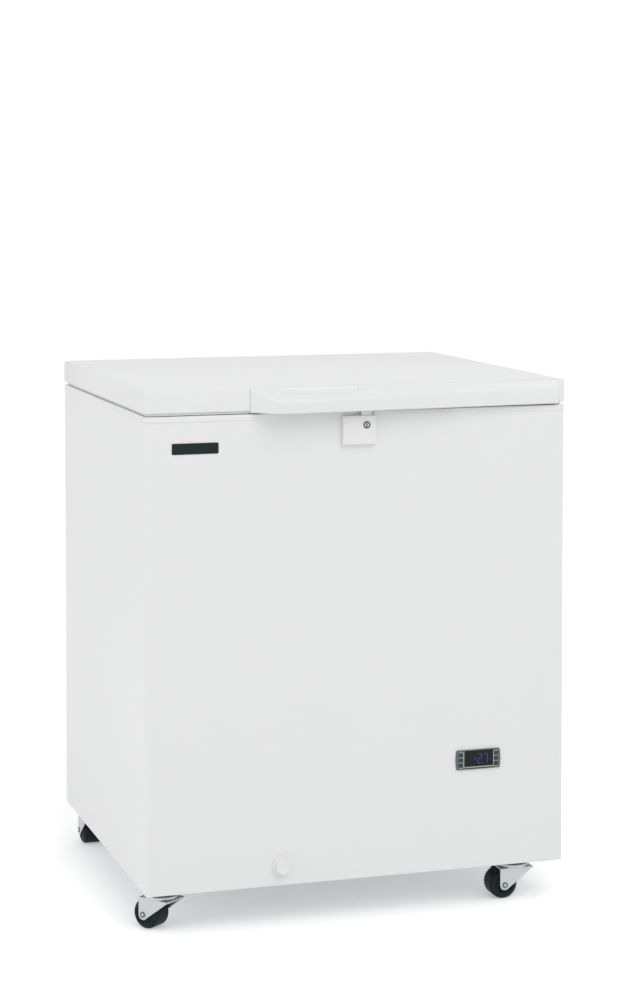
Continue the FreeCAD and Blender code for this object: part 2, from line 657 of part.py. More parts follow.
def inner_liner():
    """The stepped tank, open at the top, with the drain hole in its lower floor."""
    body = new_body("inner_liner")
    outer = tank_profile("liner_thick")
    outer[0] = (outer[0][0], SHELL_TOP)
    outer[-1] = (outer[-1][0], SHELL_TOP)
    prism(body, "XZ_Plane", minus(TANK_FRONT, "liner_thick"), plus(TANK_BACK, "liner_thick"), outer)
    cut(body, "XZ_Plane", TANK_FRONT, TANK_BACK, tank_profile("0"))
    cut(body, "XY_Plane", minus(TANK_FLOOR, "2 * liner_thick"), plus(TANK_FLOOR, "liner_thick"),
        ("circle", DRAIN_X, plus(TANK_FRONT, "drain_inset"), "drain_radius"))
    return keep("inner_liner", body)


def evaporator_coil():
    """Turns of tube wound round the tank's upper part, squared where they lie on it."""
    body = new_body("evaporator_coil")
    turn = prism(body, "XY_Plane", COIL_LOW, plus(COIL_LOW, "coil_section"),
                 box_ring(*coil_outline("coil_section + liner_thick")), box_ring(*coil_outline("liner_thick")))
    repeat(body, turn, "Z_Axis", "coil_spacing", "coil_turns")
    return keep("evaporator_coil", body)


def top_trim():
    """Moulded frame over the foam's top, with a skirt outside the shell."""
    body = new_body("top_trim")
    opening = box_ring(TANK_LEFT, TANK_RIGHT, TANK_FRONT, TANK_BACK)
    prism(body, "XY_Plane", SHELL_TOP, TOP, box_ring(LEFT, RIGHT, FRONT, BACK), opening)
    prism(body, "XY_Plane", minus(TOP, "trim_skirt"), SHELL_TOP, box_ring(LEFT, RIGHT, FRONT, BACK),
          box_ring(SHELL_LEFT, SHELL_RIGHT, SHELL_FRONT, SHELL_BACK))
    return keep("top_trim", body)


# The compressor bay
def compressor():
    """Domed pot with its seam flange, standing on a foot plate."""
    body = new_body("compressor")
    half_long, half_wide = "foot_long / 2", "foot_wide / 2"
    holes = [
        ("circle", f"({sx}) * foot_across / 2", f"({sy}) * foot_spread / 2", "grommet_stud")
        for sx in (-1, 1) for sy in (-1, 1)
    ]
    foot_low = "grommet_tall"
    foot_high = "(grommet_tall + foot_thick)"
    prism(body, "XY_Plane", foot_low, foot_high,
          box_ring(f"-({half_wide})", half_wide, f"-({half_long})", half_long, "grommet_radius / 2"), *holes)
    lowest, highest = foot_high, f"({foot_high} + compressor_tall)"
    seam_low = f"({foot_high} + seam_up - seam_thick / 2)"
    seam_high = f"({foot_high} + seam_up + seam_thick / 2)"
    turned(body, [
        ("0", lowest), ("compressor_radius * 0.72", lowest),
        ("compressor_radius", f"{lowest} + compressor_dome"), ("compressor_radius", seam_low),
        ("seam_radius", seam_low), ("seam_radius", seam_high), ("compressor_radius", seam_high),
        ("compressor_radius", f"{highest} - compressor_dome"),
        ("compressor_radius * 0.8", f"{highest} - compressor_dome * 0.35"),
        ("compressor_radius * 0.45", highest), ("0", highest),
    ])
    place(body, BAY_X, COMPRESSOR_Y, FOAM_LOW)
    return keep("compressor", body)


def grommet(index, across, deep):
    """Rubber mount with a waist, on its stud."""
    body = new_body(f"grommet_{index}")
    turned(body, [
        ("grommet_stud", "0"), ("grommet_radius", "0"), ("grommet_radius", "grommet_tall * 0.35"),
        ("grommet_radius * 0.75", "grommet_tall * 0.5"), ("grommet_radius", "grommet_tall * 0.65"),
        ("grommet_radius", "grommet_tall"), ("grommet_stud", "grommet_tall"),
    ])
    return place(body, across, deep, FOAM_LOW)


def compressor_grommets():
    return group("compressor_grommets", [
        grommet(i, f"{BAY_X} + ({sx}) * foot_across / 2", f"{COMPRESSOR_Y} + ({sy}) * foot_spread / 2")
        for i, (sx, sy) in enumerate([(-1, -1), (1, -1), (1, 1), (-1, 1)])
    ])


def compressor_relay():
    """Terminal cover on the compressor's right side."""
    body = new_body("compressor_relay")
    near = plus(BAY_X, "seam_radius")
    low = plus(FOAM_LOW, "grommet_tall + foot_thick + seam_up - relay_tall / 2")
    deep = COMPRESSOR_Y
    prism(body, "XY_Plane", low, plus(low, "relay_tall"),
          box_ring(near, plus(near, "relay_deep"), minus(deep, "relay_wide / 2"), plus(deep, "relay_wide / 2"),
                   "relay_deep / 4"))
    return keep("compressor_relay", body)


def filter_drier():
    """Spun copper barrel with coned ends."""
    body = new_body("filter_drier")
    cone = "drier_radius"
    turned(body, [
        ("0", "0"), ("pipe_radius", "0"), ("drier_radius", cone), ("drier_radius", f"{cone} + drier_long"),
        ("pipe_radius", f"2 * {cone} + drier_long"), ("0", f"2 * {cone} + drier_long"),
    ])
    place(body, BAY_X, DRIER_Y, DRIER_LOW)
    return keep("filter_drier", body)


def refrigerant_pipes():
    """Discharge pipe to the drier, liquid line up into the foam, and suction line down to the compressor."""
    behind = plus(COMPRESSOR_Y, "compressor_radius")
    ahead = minus(COMPRESSOR_Y, "compressor_radius")
    discharge = new_body("discharge_pipe")
    to_drier = [(behind, PIPE_Z), (DRIER_Y, PIPE_Z, "pipe_bend"), (DRIER_Y, DRIER_LOW)]
    tube(discharge, "YZ_Plane", {"lift": BAY_X, "corners": to_drier},
         "pipe_radius", "XZ_Plane", f"-({behind})", (BAY_X, PIPE_Z))
    suction = new_body("suction_pipe")
    rise = minus(ahead, "3 * pipe_bend")
    tube(suction, "YZ_Plane",
         {"lift": BAY_X, "corners": [(ahead, PIPE_Z), (rise, PIPE_Z, "pipe_bend"), (rise, BAY_TOP)]},
         "pipe_radius", "XZ_Plane", f"-({ahead})", (BAY_X, PIPE_Z))
    liquid = new_body("liquid_pipe")
    prism(liquid, "XY_Plane", DRIER_HIGH, BAY_TOP,
          ("circle", BAY_X, DRIER_Y, "pipe_radius"))
    return group("refrigerant_pipes", [discharge, suction, liquid])


def louvre(low, outside, inside):
    """A slanted slot that sheds water outwards, seen from the side."""
    return [
        (outside, low), (inside, plus(low, "louvre_open")),
        (inside, plus(low, "2 * louvre_open")), (outside, plus(low, "louvre_open")),
    ]


def service_grille():
    """Rear louvred cover of the compressor bay, with the power inlet's hole."""
    body = new_body("service_grille")
    outer_face = plus(SHELL_BACK, "sheet_thick")
    inner_face = minus(SHELL_BACK, "grille_deep")
    lap = "grille_lap + key_gap"
    prism(body, "XZ_Plane", SHELL_BACK, outer_face,
          box_ring(GRILLE_LEFT, GRILLE_RIGHT, GRILLE_LOW, GRILLE_HIGH), *screw_holes(grille_screw_places()))
    prism(body, "XZ_Plane", inner_face, SHELL_BACK,
          inner_ring(GRILLE_LEFT, GRILLE_RIGHT, GRILLE_LOW, GRILLE_HIGH, lap))
    inlet_mid = f"({GRILLE_LEFT} + grille_wide / 2)"
    cut(body, "XZ_Plane", minus(inner_face, PAST), plus(outer_face, PAST),
        box_ring(minus(inlet_mid, "inlet_wide / 2"), plus(inlet_mid, "inlet_wide / 2"),
                 plus(GRILLE_LOW, "inlet_up"), plus(GRILLE_LOW, "inlet_up + inlet_tall")))
    first = plus(GRILLE_LOW, "inlet_up + inlet_tall + louvre_spacing")
    slot = cut(body, "YZ_Plane", plus(GRILLE_LEFT, "louvre_inset"), minus(GRILLE_RIGHT, "louvre_inset"),
               louvre(first, plus(outer_face, PAST), minus(inner_face, PAST)))
    repeat(body, slot, "Z_Axis", "louvre_spacing", "louvre_count")
    return keep("service_grille", body)


def side_grille():
    """Louvred air grille in the right side of the shell."""
    body = new_body("side_grille")
    inner_face = minus(SHELL_RIGHT, "grille_deep")
    lap = "grille_lap + key_gap"
    prism(body, "YZ_Plane", SHELL_RIGHT, RIGHT, box_ring(VENT_FRONT, VENT_BACK, VENT_LOW, VENT_HIGH))
    prism(body, "YZ_Plane", inner_face, SHELL_RIGHT,
          box_ring(plus(VENT_FRONT, lap), minus(VENT_BACK, lap), plus(VENT_LOW, lap), minus(VENT_HIGH, lap)))
    first = plus(VENT_LOW, "1.7 * grille_lap")
    slot = cut(body, "XZ_Plane", plus(VENT_FRONT, "louvre_inset"), minus(VENT_BACK, "louvre_inset"),
               louvre(first, plus(RIGHT, PAST), minus(inner_face, PAST)))
    repeat(body, slot, "Z_Axis", "louvre_spacing", "vent_count")
    return keep("side_grille", body)


def power_inlet():
    """Appliance inlet in the rear grille; nothing is plugged into it."""
    body = new_body("power_inlet")
    middle = f"({GRILLE_LEFT} + grille_wide / 2)"
    low = plus(GRILLE_LOW, "inlet_up")
    outer_face = plus(SHELL_BACK, "sheet_thick")
    left, right = minus(middle, "inlet_wide / 2"), plus(middle, "inlet_wide / 2")
    high = plus(low, "inlet_tall")
    prism(body, "XZ_Plane", minus(SHELL_BACK, "inlet_deep"), outer_face, box_ring(left, right, low, high))
    lip = "inlet_proud"
    prism(body, "XZ_Plane", outer_face, plus(outer_face, lip),
          box_ring(minus(left, lip), plus(right, lip), minus(low, lip), plus(high, lip), lip))
    cut(body, "XZ_Plane", minus(SHELL_BACK, f"inlet_deep - {lip}"), plus(outer_face, f"{lip} + {PAST}"),
        inner_ring(left, right, low, high, lip))
    return keep("power_inlet", body)


def screw(name, across, deep, up, axis, angle):
    """Pan-head screw whose head's underside is at its place; it points along the turned -Z."""
    body = new_body(name)
    turned(body, [
        ("0", "-screw_long"), ("screw_shank", "-screw_long + screw_shank"), ("screw_shank", "0"),
        ("screw_head", "0"), ("screw_head", "screw_head_tall * 0.5"),
        ("screw_head * 0.6", "screw_head_tall"), ("0", "screw_head_tall"),
    ])
    return place(body, across, deep, up, axis, angle)


def panel_screws():
    """Screws at the rear grille's corners and in the hinge brackets."""
    made = [screw(f"grille_screw_{i}", x, plus(SHELL_BACK, "sheet_thick"), z, X_AXIS, "-90")
            for i, (x, z) in enumerate(grille_screw_places())]
    for side, middle in HINGES.items():
        made += [screw(f"hinge_screw_{side}_{i}", x, plus(SHELL_BACK, "hinge_sheet"), z, X_AXIS, "-90")
                 for i, (x, z) in enumerate(hinge_screw_places(middle))]
    return group("panel_screws", made)


def drain_tube():
    """Tube from the tank's floor to the front."""
    body = new_body("drain_tube")
    drain_bar(body, "drain_bore")
    return keep("drain_tube", body)


# The front's fittings
def lock_housing():
    """Hollow plate housing, stepped at its back to clear the trim, slotted on top for the strike."""
    body = new_body("lock_housing")
    left, right, low, high = PLATE_LEFT, PLATE_RIGHT, PLATE_LOW, PLATE_HIGH
    face = minus(FRONT, "plate_proud")
    trim_foot = minus(TOP, "trim_skirt + key_gap")
    prism(body, "YZ_Plane", left, right,
          [(SHELL_FRONT, low), (SHELL_FRONT, trim_foot), (FRONT, trim_foot), (FRONT, high),
           (face, high, "plate_wall"), (face, low, "plate_wall")])
    cut(body, "XZ_Plane", plus(face, "plate_wall"), plus(SHELL_FRONT, PAST),
        box_ring(plus(left, "plate_wall"), minus(right, "plate_wall"), plus(low, "plate_wall"),
                 minus(high, "plate_wall")))
    cut(body, "XY_Plane", minus(high, "2 * plate_wall"), plus(high, PAST),
        box_ring(minus(LOCK_X, "strike_half + strike_gap"), plus(LOCK_X, "strike_half + strike_gap"),
                 plus(face, "plate_wall"), minus(FRONT, "strike_back - 1")))
    cut(body, "XZ_Plane", minus(face, PAST), plus(face, f"plate_wall + {PAST}"),
        ("circle", LOCK_X, LOCK_Z, "barrel_face + running_gap"))
    return keep("lock_housing", body)


def lock_barrel():
    """Keyed barrel; its face stands just out of the housing."""
    body = new_body("lock_barrel")
    inner = minus("plate_proud", "plate_wall")
    turned(body, [
        ("0", "plate_wall"), ("barrel_body", "plate_wall"), ("barrel_body", f"{inner} - 0.1"),
        ("barrel_face", f"{inner} - 0.1"), ("barrel_face", "plate_proud + 0.4"),
        ("barrel_face - 0.4", "plate_proud + 0.8"), ("0", "plate_proud + 0.8"),
    ])
    cut(body, "XY_Plane", "plate_proud - 2", "plate_proud + 2",
        box_ring("-0.7", "0.7", "-barrel_face * 0.55", "barrel_face * 0.55"))
    place(body, LOCK_X, FRONT, LOCK_Z, X_AXIS, "90")
    return keep("lock_barrel", body)


def lock_cam():
    """Arm on the barrel's tail with a peg that swings under the strike's hook."""
    body = new_body("lock_cam")
    near = "plate_wall + 0.5"
    far = f"{near} + cam_thick"
    reach = "-(cam_reach + cam_half)"
    prism(body, "XY_Plane", near, far,
          box_ring(reach, "barrel_body + cam_collar", "-cam_half", "cam_half", "cam_half * 0.9"))
    prism(body, "XY_Plane", near, far, ("circle", "0", "0", "barrel_body + cam_collar"))
    cut(body, "XY_Plane", f"{near} - {PAST}", f"{far} + {PAST}", ("circle", "0", "0", "barrel_body"))
    prism(body, "XY_Plane", far, "plate_proud - plate_wall - 0.1", ("circle", "-cam_reach", "0", "peg_radius"))
    place(body, LOCK_X, FRONT, LOCK_Z, X_AXIS, "90")
    return keep("lock_cam", body)


def lock_strike():
    """Bent sheet on the lid's front whose hooked tongue drops into the lock housing."""
    body = new_body("lock_strike")
    thick = "strike_thick"
    tongue_back, tongue_front = minus(FRONT, "strike_back"), minus(FRONT, f"strike_back + {thick}")
    hook_low = plus(LOCK_Z, "barrel_body + strike_gap")
    bend = plus(LID_LOW, "2")
    foot_top = minus(LID_LOW, "handle_hang - hollow_roof + 0.5")
    prism(body, "YZ_Plane", minus(LOCK_X, "strike_half"), plus(LOCK_X, "strike_half"),
          [(tongue_front, hook_low), (tongue_back, hook_low), (tongue_back, minus(bend, thick)),
           (minus(FRONT, "key_gap"), minus(bend, thick)), (minus(FRONT, "key_gap"), foot_top),
           (minus(FRONT, f"key_gap + {thick}"), foot_top), (minus(FRONT, f"key_gap + {thick}"), bend),
           (tongue_front, bend)])
    side = minus(LOCK_X, f"strike_half + {PAST}")
    lip_top = plus(LOCK_Z, "cam_reach - peg_radius - strike_gap")
    roof = plus(LOCK_Z, "cam_reach + peg_radius + strike_gap")
    cut(body, "XZ_Plane", minus(tongue_front, PAST), plus(tongue_back, PAST),
        [(side, minus(hook_low, PAST)), (minus(LOCK_X, "peg_radius"), minus(hook_low, PAST)),
         (minus(LOCK_X, "peg_radius"), lip_top), (plus(LOCK_X, "peg_radius + strike_gap"), lip_top),
         (plus(LOCK_X, "peg_radius + strike_gap"), roof), (side, roof)])
    return keep("lock_strike", body)


def badge_plate():
    body = new_body("badge_plate")
    left, high = plus(LEFT, "badge_start"), minus(TOP, "badge_drop")
    prism(body, "XZ_Plane", minus(SHELL_FRONT, "badge_thick"), SHELL_FRONT,
          box_ring(left, plus(left, "badge_wide"), minus(high, "badge_tall"), high, "badge_round"))
    return keep("badge_plate", body)


def key_places():
    """Middles of the six keys: three in a column at each end of the bezel."""
    columns = (plus(PANEL_LEFT, "key_inset"), minus(PANEL_RIGHT, "key_inset"))
    middle = f"({PANEL_LOW} + panel_tall / 2)"
    return [(x, f"({middle} + ({i}) * key_pitch)") for x in columns for i in (1, 0, -1)]


def key_ring(x, z, grow):
    return box_ring(minus(x, f"key_wide / 2 + {grow}"), plus(x, f"key_wide / 2 + {grow}"),
                    minus(z, f"key_tall / 2 + {grow}"), plus(z, f"key_tall / 2 + {grow}"))


def window_ring(grow):
    left = plus(PANEL_LEFT, "window_start")
    middle = f"({PANEL_LOW} + panel_tall / 2)"
    return box_ring(minus(left, grow), plus(left, f"window_wide + ({grow})"),
                    minus(middle, f"window_tall / 2 + ({grow})"), plus(middle, f"window_tall / 2 + ({grow})"))


def controller_bezel():
    """Frame of the controller with the window's opening and six key holes."""
    body = new_body("controller_bezel")
    prism(body, "XZ_Plane", minus(SHELL_FRONT, "panel_proud"), SHELL_FRONT,
          box_ring(PANEL_LEFT, PANEL_RIGHT, PANEL_LOW, PANEL_HIGH, "panel_round"))
    cut(body, "XZ_Plane", minus(SHELL_FRONT, f"panel_proud + {PAST}"), plus(SHELL_FRONT, PAST),
        window_ring("0"), *[key_ring(x, z, "key_gap") for x, z in key_places()])
    return keep("controller_bezel", body)


def controller_window():
    body = new_body("controller_window")
    prism(body, "XZ_Plane", minus(SHELL_FRONT, "panel_proud - 0.8"), SHELL_FRONT, window_ring("0"))
    return keep("controller_window", body)


def controller_case():
    """Instrument case behind the shell, through its cut-out."""
    body = new_body("controller_case")
    prism(body, "XZ_Plane", SHELL_FRONT, plus(SHELL_FRONT, "case_deep"),
          box_ring(plus(PANEL_LEFT, "case_inset"), minus(PANEL_RIGHT, "case_inset"),
                   plus(PANEL_LOW, "case_inset"), minus(PANEL_HIGH, "case_inset"), "1"))
    return keep("controller_case", body)


def controller_keys():
    for i, (x, z) in enumerate(key_places(), start=1):
        body = new_body(f"key_{i}")
        front = minus(SHELL_FRONT, "panel_proud + key_proud")
        prism(body, "XZ_Plane", front, plus(front, "key_long"), key_ring(x, z, "0"))
        keep(f"key_{i}", body)


def drain_cap():
    """Push-in cap: stem in the tube, flange on the shell and a scalloped knob."""
    body = new_body("drain_cap")
    knob_low = "cap_flange_thick"
    knob_high = "cap_flange_thick + cap_knob_tall"
    turned(body, [
        ("0", "-cap_stem"), ("drain_bore - running_gap - 1", "-cap_stem"),
        ("drain_bore - running_gap", "-cap_stem + 2"), ("drain_bore - running_gap", "0"), ("cap_flange", "0"),
        ("cap_flange", "cap_flange_thick * 0.6"), ("cap_flange - 2", knob_low), ("cap_knob", knob_low),
        ("cap_knob", f"{knob_high} - 2"), ("cap_knob - 2", knob_high), ("0", knob_high),
    ])
    scallop = cut(body, "XY_Plane", knob_low, f"{knob_high} + {PAST}",
                  ("circle", "cap_knob + cap_scallop * 0.4", "0", "cap_scallop"))
    ring = body.newObject("PartDesign::PolarPattern", "cap_scallops")
    ring.Originals = [scallop]
    ring.Axis = (next(f for f in body.Origin.OriginFeatures if f.Role == "Z_Axis"), [""])
    ring.Angle = 360
    ring.Occurrences = 6
    body.Tip = ring
    place(body, DRAIN_X, minus(SHELL_FRONT, "seal_gap"), DRAIN_Z, X_AXIS, "90")
    return keep("drain_cap", body)


# The lid
def lid_profile(inset):
    """The lid seen from the front, with rounded left and right top edges."""
    return [
        (plus(LEFT, inset), LID_LOW), (minus(RIGHT, inset), LID_LOW),
        (minus(RIGHT, inset), minus(LID_TOP, inset), f"lid_round - ({inset})"),
        (plus(LEFT, inset), minus(LID_TOP, inset), f"lid_round - ({inset})"),
    ]


def lid_skin():
    """Steel cap of the lid, open below."""
    body = new_body("lid_skin")
    prism(body, "XZ_Plane", FRONT, BACK, lid_profile("0"))
    cut(body, "XZ_Plane", plus(FRONT, "sheet_thick"), minus(BACK, "sheet_thick"),
        lid_profile("sheet_thick"))
    return keep("lid_skin", body)


def plug_ring(grow):
    return box_ring(plus(TANK_LEFT, f"plug_gap + ({grow})"), minus(TANK_RIGHT, f"plug_gap + ({grow})"),
                    plus(TANK_FRONT, f"plug_gap + ({grow})"), minus(TANK_BACK, f"plug_gap + ({grow})"))


def lid_cavity():
    inset = "sheet_thick"
    return box_ring(plus(LEFT, inset), minus(RIGHT, inset), plus(FRONT, inset), minus(BACK, inset))


def lid_liner():
    """Inner moulding of the lid: a flat border with a plug that hangs into the tank's mouth."""
    body = new_body("lid_liner")
    high = plus(LID_LOW, "lid_liner_thick")
    plug_low = minus(TOP, "plug_deep")
    prism(body, "XY_Plane", LID_LOW, high, lid_cavity())
    prism(body, "XY_Plane", plug_low, LID_LOW, plug_ring("0"))
    cut(body, "XY_Plane", plus(plug_low, "lid_liner_thick"), plus(high, PAST), plug_ring("lid_liner_thick"))
    return keep("lid_liner", body)


def lid_foam():
    body = new_body("lid_foam")
    low = plus(LID_LOW, "lid_liner_thick")
    outline = lid_profile("sheet_thick")
    outline[0] = (outline[0][0], low)
    outline[1] = (outline[1][0], low)
    prism(body, "XZ_Plane", plus(FRONT, "sheet_thick"), minus(BACK, "sheet_thick"), outline)
    prism(body, "XY_Plane", minus(TOP, "plug_deep - lid_liner_thick"), low, plug_ring("lid_liner_thick"))
    return keep("lid_foam", body)


def lid_gasket():
    """Soft seal between lid and trim, with a groove along its underside."""
    body = new_body("lid_gasket")

    def frame(extra):
        edge = f"gasket_inset + ({extra})"
        return box_ring(plus(LEFT, edge), minus(RIGHT, edge), plus(FRONT, edge), minus(BACK, edge))

    low = plus(TOP, "seal_gap")
    prism(body, "XY_Plane", low, LID_LOW, frame("0"), frame("gasket_wide"))
    cut(body, "XY_Plane", minus(low, PAST), plus(low, "lid_gap / 3"),
        frame("gasket_wide * 0.4"), frame("gasket_wide * 0.6"))
    return keep("lid_gasket", body)


def handle_section(body, across, reach, drop):
    """One cross-section of the handle, from the lid's front out to its eased front edge."""
    sketch = sketch_on(body, "YZ_Plane", across)
    low = minus(LID_LOW, "handle_hang")
    front = minus(FRONT, reach)
    edge = "handle_edge"
    draw_ring(sketch, [
        (FRONT, low), (plus(front, edge), low), (front, plus(low, edge)),
        (front, minus(LID_TOP, f"{drop} + {edge} / 2")), (plus(front, f"{edge} / 2"), minus(LID_TOP, drop)),
        (FRONT, minus(LID_TOP, "0.3")),
    ])
    return sketch


def lid_handle():
    """Moulded hand grip along the lid's front: deep at the left, drawn out to a thin end at the right."""
    body = new_body("lid_handle")
    start, middle = plus(LEFT, "handle_start"), plus(LEFT, "handle_middle")
    end = minus(RIGHT, "handle_right_gap")
    # The front narrows by this much for each millimetre to the right of its slanted end
    slope = "((handle_reach - handle_mid_reach) / (handle_middle - handle_start - handle_bevel))"
    sections = [
        handle_section(body, start, f"(handle_reach + {slope} * handle_bevel)", "handle_drop"),
        handle_section(body, middle, "handle_mid_reach", "handle_mid_drop"),
        handle_section(body, end, "handle_end_reach", "handle_end_drop"),
    ]
    loft = body.newObject("PartDesign::AdditiveLoft", "handle_loft")
    loft.Profile = sections[0]
    loft.Sections = sections[1:]
    loft.Ruled = True
    low, high = minus(LID_LOW, f"handle_hang + {PAST}"), plus(LID_TOP, PAST)
    cut(body, "XY_Plane", low, high,
        [(minus(start, PAST), FRONT), (start, FRONT),
         (plus(start, "2 * handle_bevel"), minus(FRONT, "2 * handle_reach")),
         (minus(start, PAST), minus(FRONT, "2 * handle_reach"))])
    # The hollow for the fingers follows the front's taper
    hollow_left, hollow_right = plus(LEFT, "hollow_start"), plus(LEFT, "hollow_end")
    full_at = "(handle_start + handle_bevel)"
    reach_left = f"(handle_reach - handle_wall - {slope} * (hollow_start - {full_at}))"
    reach_right = f"(handle_reach - handle_wall - {slope} * (hollow_end - {full_at}))"
    cut(body, "XY_Plane", low, plus(minus(LID_LOW, "handle_hang"), "hollow_roof"),
        [(hollow_left, plus(FRONT, PAST)), (hollow_right, plus(FRONT, PAST)),
         (hollow_right, minus(FRONT, reach_right)), (hollow_left, minus(FRONT, reach_left))])
    fall = "(handle_drop / handle_reach)"
    cut(body, "YZ_Plane", plus(LEFT, "dish_start"), plus(LEFT, "dish_end"),
        [(minus(FRONT, "dish_near"), minus(LID_TOP, f"{fall} * dish_near + dish_deep")),
         (minus(FRONT, "dish_far"), minus(LID_TOP, f"{fall} * dish_far + dish_rim")),
         (minus(FRONT, "dish_far"), high), (minus(FRONT, "dish_near"), high)])
    return keep("lid_handle", body)


# The hinges
def hinge_bracket(side, x):
    """Plate on the back of the cabinet with two ears for the pin."""
    body = new_body(f"hinge_bracket_{side}")
    left, right = minus(x, "hinge_wide / 2"), plus(x, "hinge_wide / 2")
    low, high = minus(PIVOT_UP, "hinge_low"), minus(TOP, "trim_skirt + 1")
    prism(body, "XZ_Plane", SHELL_BACK, plus(SHELL_BACK, "hinge_sheet"), box_ring(left, right, low, high, "2"),
          *screw_holes(hinge_screw_places(x)))
    face, gusset_low = plus(SHELL_BACK, "hinge_sheet"), minus(high, "3 * knuckle_radius")
    prism(body, "YZ_Plane", left, right,
          [(SHELL_BACK, gusset_low), (face, gusset_low),
           (plus(PIVOT_BACK, "knuckle_radius * 0.8"), minus(PIVOT_UP, "knuckle_radius * 0.6")),
           (PIVOT_BACK, PIVOT_UP), (plus(BACK, "trim_proud"), high), (SHELL_BACK, high)])
    prism(body, "YZ_Plane", left, right, ("circle", PIVOT_BACK, PIVOT_UP, "knuckle_radius"))
    half = "(knuckle_wide / 2 + knuckle_gap)"
    room = "knuckle_radius + knuckle_gap"
    behind, above, near = plus(PIVOT_BACK, room), plus(PIVOT_UP, room), plus(BACK, "trim_proud")
    cut(body, "YZ_Plane", minus(x, half), plus(x, half),
        [(face, minus(gusset_low, PAST)), (behind, minus(gusset_low, PAST)), (behind, above),
         (near, above), (near, minus(high, PAST)), (face, minus(high, PAST))])
    cut(body, "YZ_Plane", minus(left, PAST), plus(right, PAST), ("circle", PIVOT_BACK, PIVOT_UP, "pin_radius"))
    return keep(f"hinge_bracket_{side}", body)


def hinge_leaf(side, x):
    """Plate on the back of the lid whose knuckle turns on the pin between the bracket's ears."""
    body = new_body(f"hinge_leaf_{side}")
    low, high = plus(PIVOT_UP, "leaf_rise"), plus(PIVOT_UP, "leaf_high")
    prism(body, "XZ_Plane", BACK, plus(BACK, "hinge_sheet"),
          box_ring(minus(x, "hinge_wide / 2"), plus(x, "hinge_wide / 2"), low, high, "2"))
    half, arm_high = "knuckle_wide / 2", plus(low, "2 * knuckle_radius")
    prism(body, "YZ_Plane", minus(x, half), plus(x, half),
          [(BACK, low), (minus(PIVOT_BACK, "knuckle_radius * 0.9"), PIVOT_UP), (PIVOT_BACK, PIVOT_UP),
           (plus(PIVOT_BACK, "knuckle_radius * 0.7"), plus(PIVOT_UP, "knuckle_radius * 0.7")),
           (plus(BACK, "hinge_sheet"), arm_high), (BACK, arm_high)])
    prism(body, "YZ_Plane", minus(x, half), plus(x, half), ("circle", PIVOT_BACK, PIVOT_UP, "knuckle_radius"))
    cut(body, "YZ_Plane", minus(x, "hinge_wide"), plus(x, "hinge_wide"),
        ("circle", PIVOT_BACK, PIVOT_UP, "pin_radius + running_gap"))
    return keep(f"hinge_leaf_{side}", body)


def hinge_pins():
    made = []
    for side, x in HINGES.items():
        body = new_body(f"hinge_pin_{side}")
        prism(body, "YZ_Plane", minus(x, "hinge_wide / 2"), plus(x, "hinge_wide / 2"),
              ("circle", PIVOT_BACK, PIVOT_UP, "pin_radius"))
        made.append(body)
    return group("hinge_pins", made)


# The casters, each made about its own swivel axis with the floor at zero
AXLE_Z = "wheel_radius"
SHOULDER_Z = "(wheel_radius + fork_shoulder)"
RACE_TOP = f"({SHOULDER_Z} + race_tall)"
LEG_INNER = "(wheel_wide / 2 + fork_gap)"
LEG_OUTER = f"({LEG_INNER} + fork_thick)"


def caster_plate(name):
    """Fixed top of the caster: plate, upper race and swivel pin in one pressing."""
    body = new_body(f"plate_{name}")
    half = "plate_side / 2"
    under = "(ground_gap - plate_thick)"
    spots = [("circle", f"({sx}) * bolt_spread / 2", f"({sy}) * bolt_spread / 2", "bolt_radius")
             for sx in (-1, 1) for sy in (-1, 1)]
    prism(body, "XY_Plane", under, "ground_gap",
          box_ring(f"-{half}", half, f"-{half}", half, "plate_round"), *spots)
    head_high = f"({SHOULDER_Z} - fork_thick - race_gap)"
    turned(body, [
        ("0", under), ("race_upper", under), ("race_upper", f"{RACE_TOP} + race_gap + 1.5"),
        ("race_upper - 2", f"{RACE_TOP} + race_gap"), ("kingpin_radius", f"{RACE_TOP} + race_gap"),
        ("kingpin_radius", head_high), ("kingpin_head", head_high),
        ("kingpin_head", f"{head_high} - kingpin_head_tall"), ("0", f"{head_high} - kingpin_head_tall"),
    ])
    return body


def caster_fork(name, x, y, turn):
    """Stamped fork: two legs that sweep back to the axle, a top web and the swivel race."""
    body = new_body(f"caster_fork_{name}")
    behind, ahead = "(-trail - fork_behind)", "(fork_ahead - trail)"
    leg = [
        (behind, SHOULDER_Z, "fork_thick"), (behind, f"{AXLE_Z} - fork_tip", "fork_tip * 0.97"),
        ("-trail + fork_tip * 0.33", f"{AXLE_Z} - fork_tip", "fork_tip * 0.97"),
        (ahead, f"{SHOULDER_Z} - fork_nose"), (ahead, SHOULDER_Z),
    ]
    prism(body, "XZ_Plane", f"-{LEG_OUTER}", LEG_OUTER, leg)
    cut(body, "XZ_Plane", f"-{LEG_INNER}", LEG_INNER,
        box_ring(minus(behind, PAST), plus(ahead, PAST),
                 f"{AXLE_Z} - fork_tip - {PAST}", f"{SHOULDER_Z} - fork_thick"))
    cut(body, "XZ_Plane", f"-{LEG_OUTER} - {PAST}", f"{LEG_OUTER} + {PAST}",
        ("circle", "-trail", AXLE_Z, "axle_radius"))
    turned(body, [
        ("0", f"{SHOULDER_Z} - fork_thick"), ("kingpin_head", f"{SHOULDER_Z} - fork_thick"),
        ("race_radius - 4", SHOULDER_Z), ("race_radius", f"{SHOULDER_Z} + 2"),
        ("race_radius", f"{RACE_TOP} - 1"), ("race_radius - 1", RACE_TOP), ("0", RACE_TOP),
    ])
    cut(body, "XY_Plane", f"{SHOULDER_Z} - fork_thick - {PAST}", f"{RACE_TOP} + {PAST}",
        ("circle", "0", "0", "kingpin_radius + running_gap"))
    place(body, x, y, "0", None, turn)
    return keep(f"caster_fork_{name}", body)


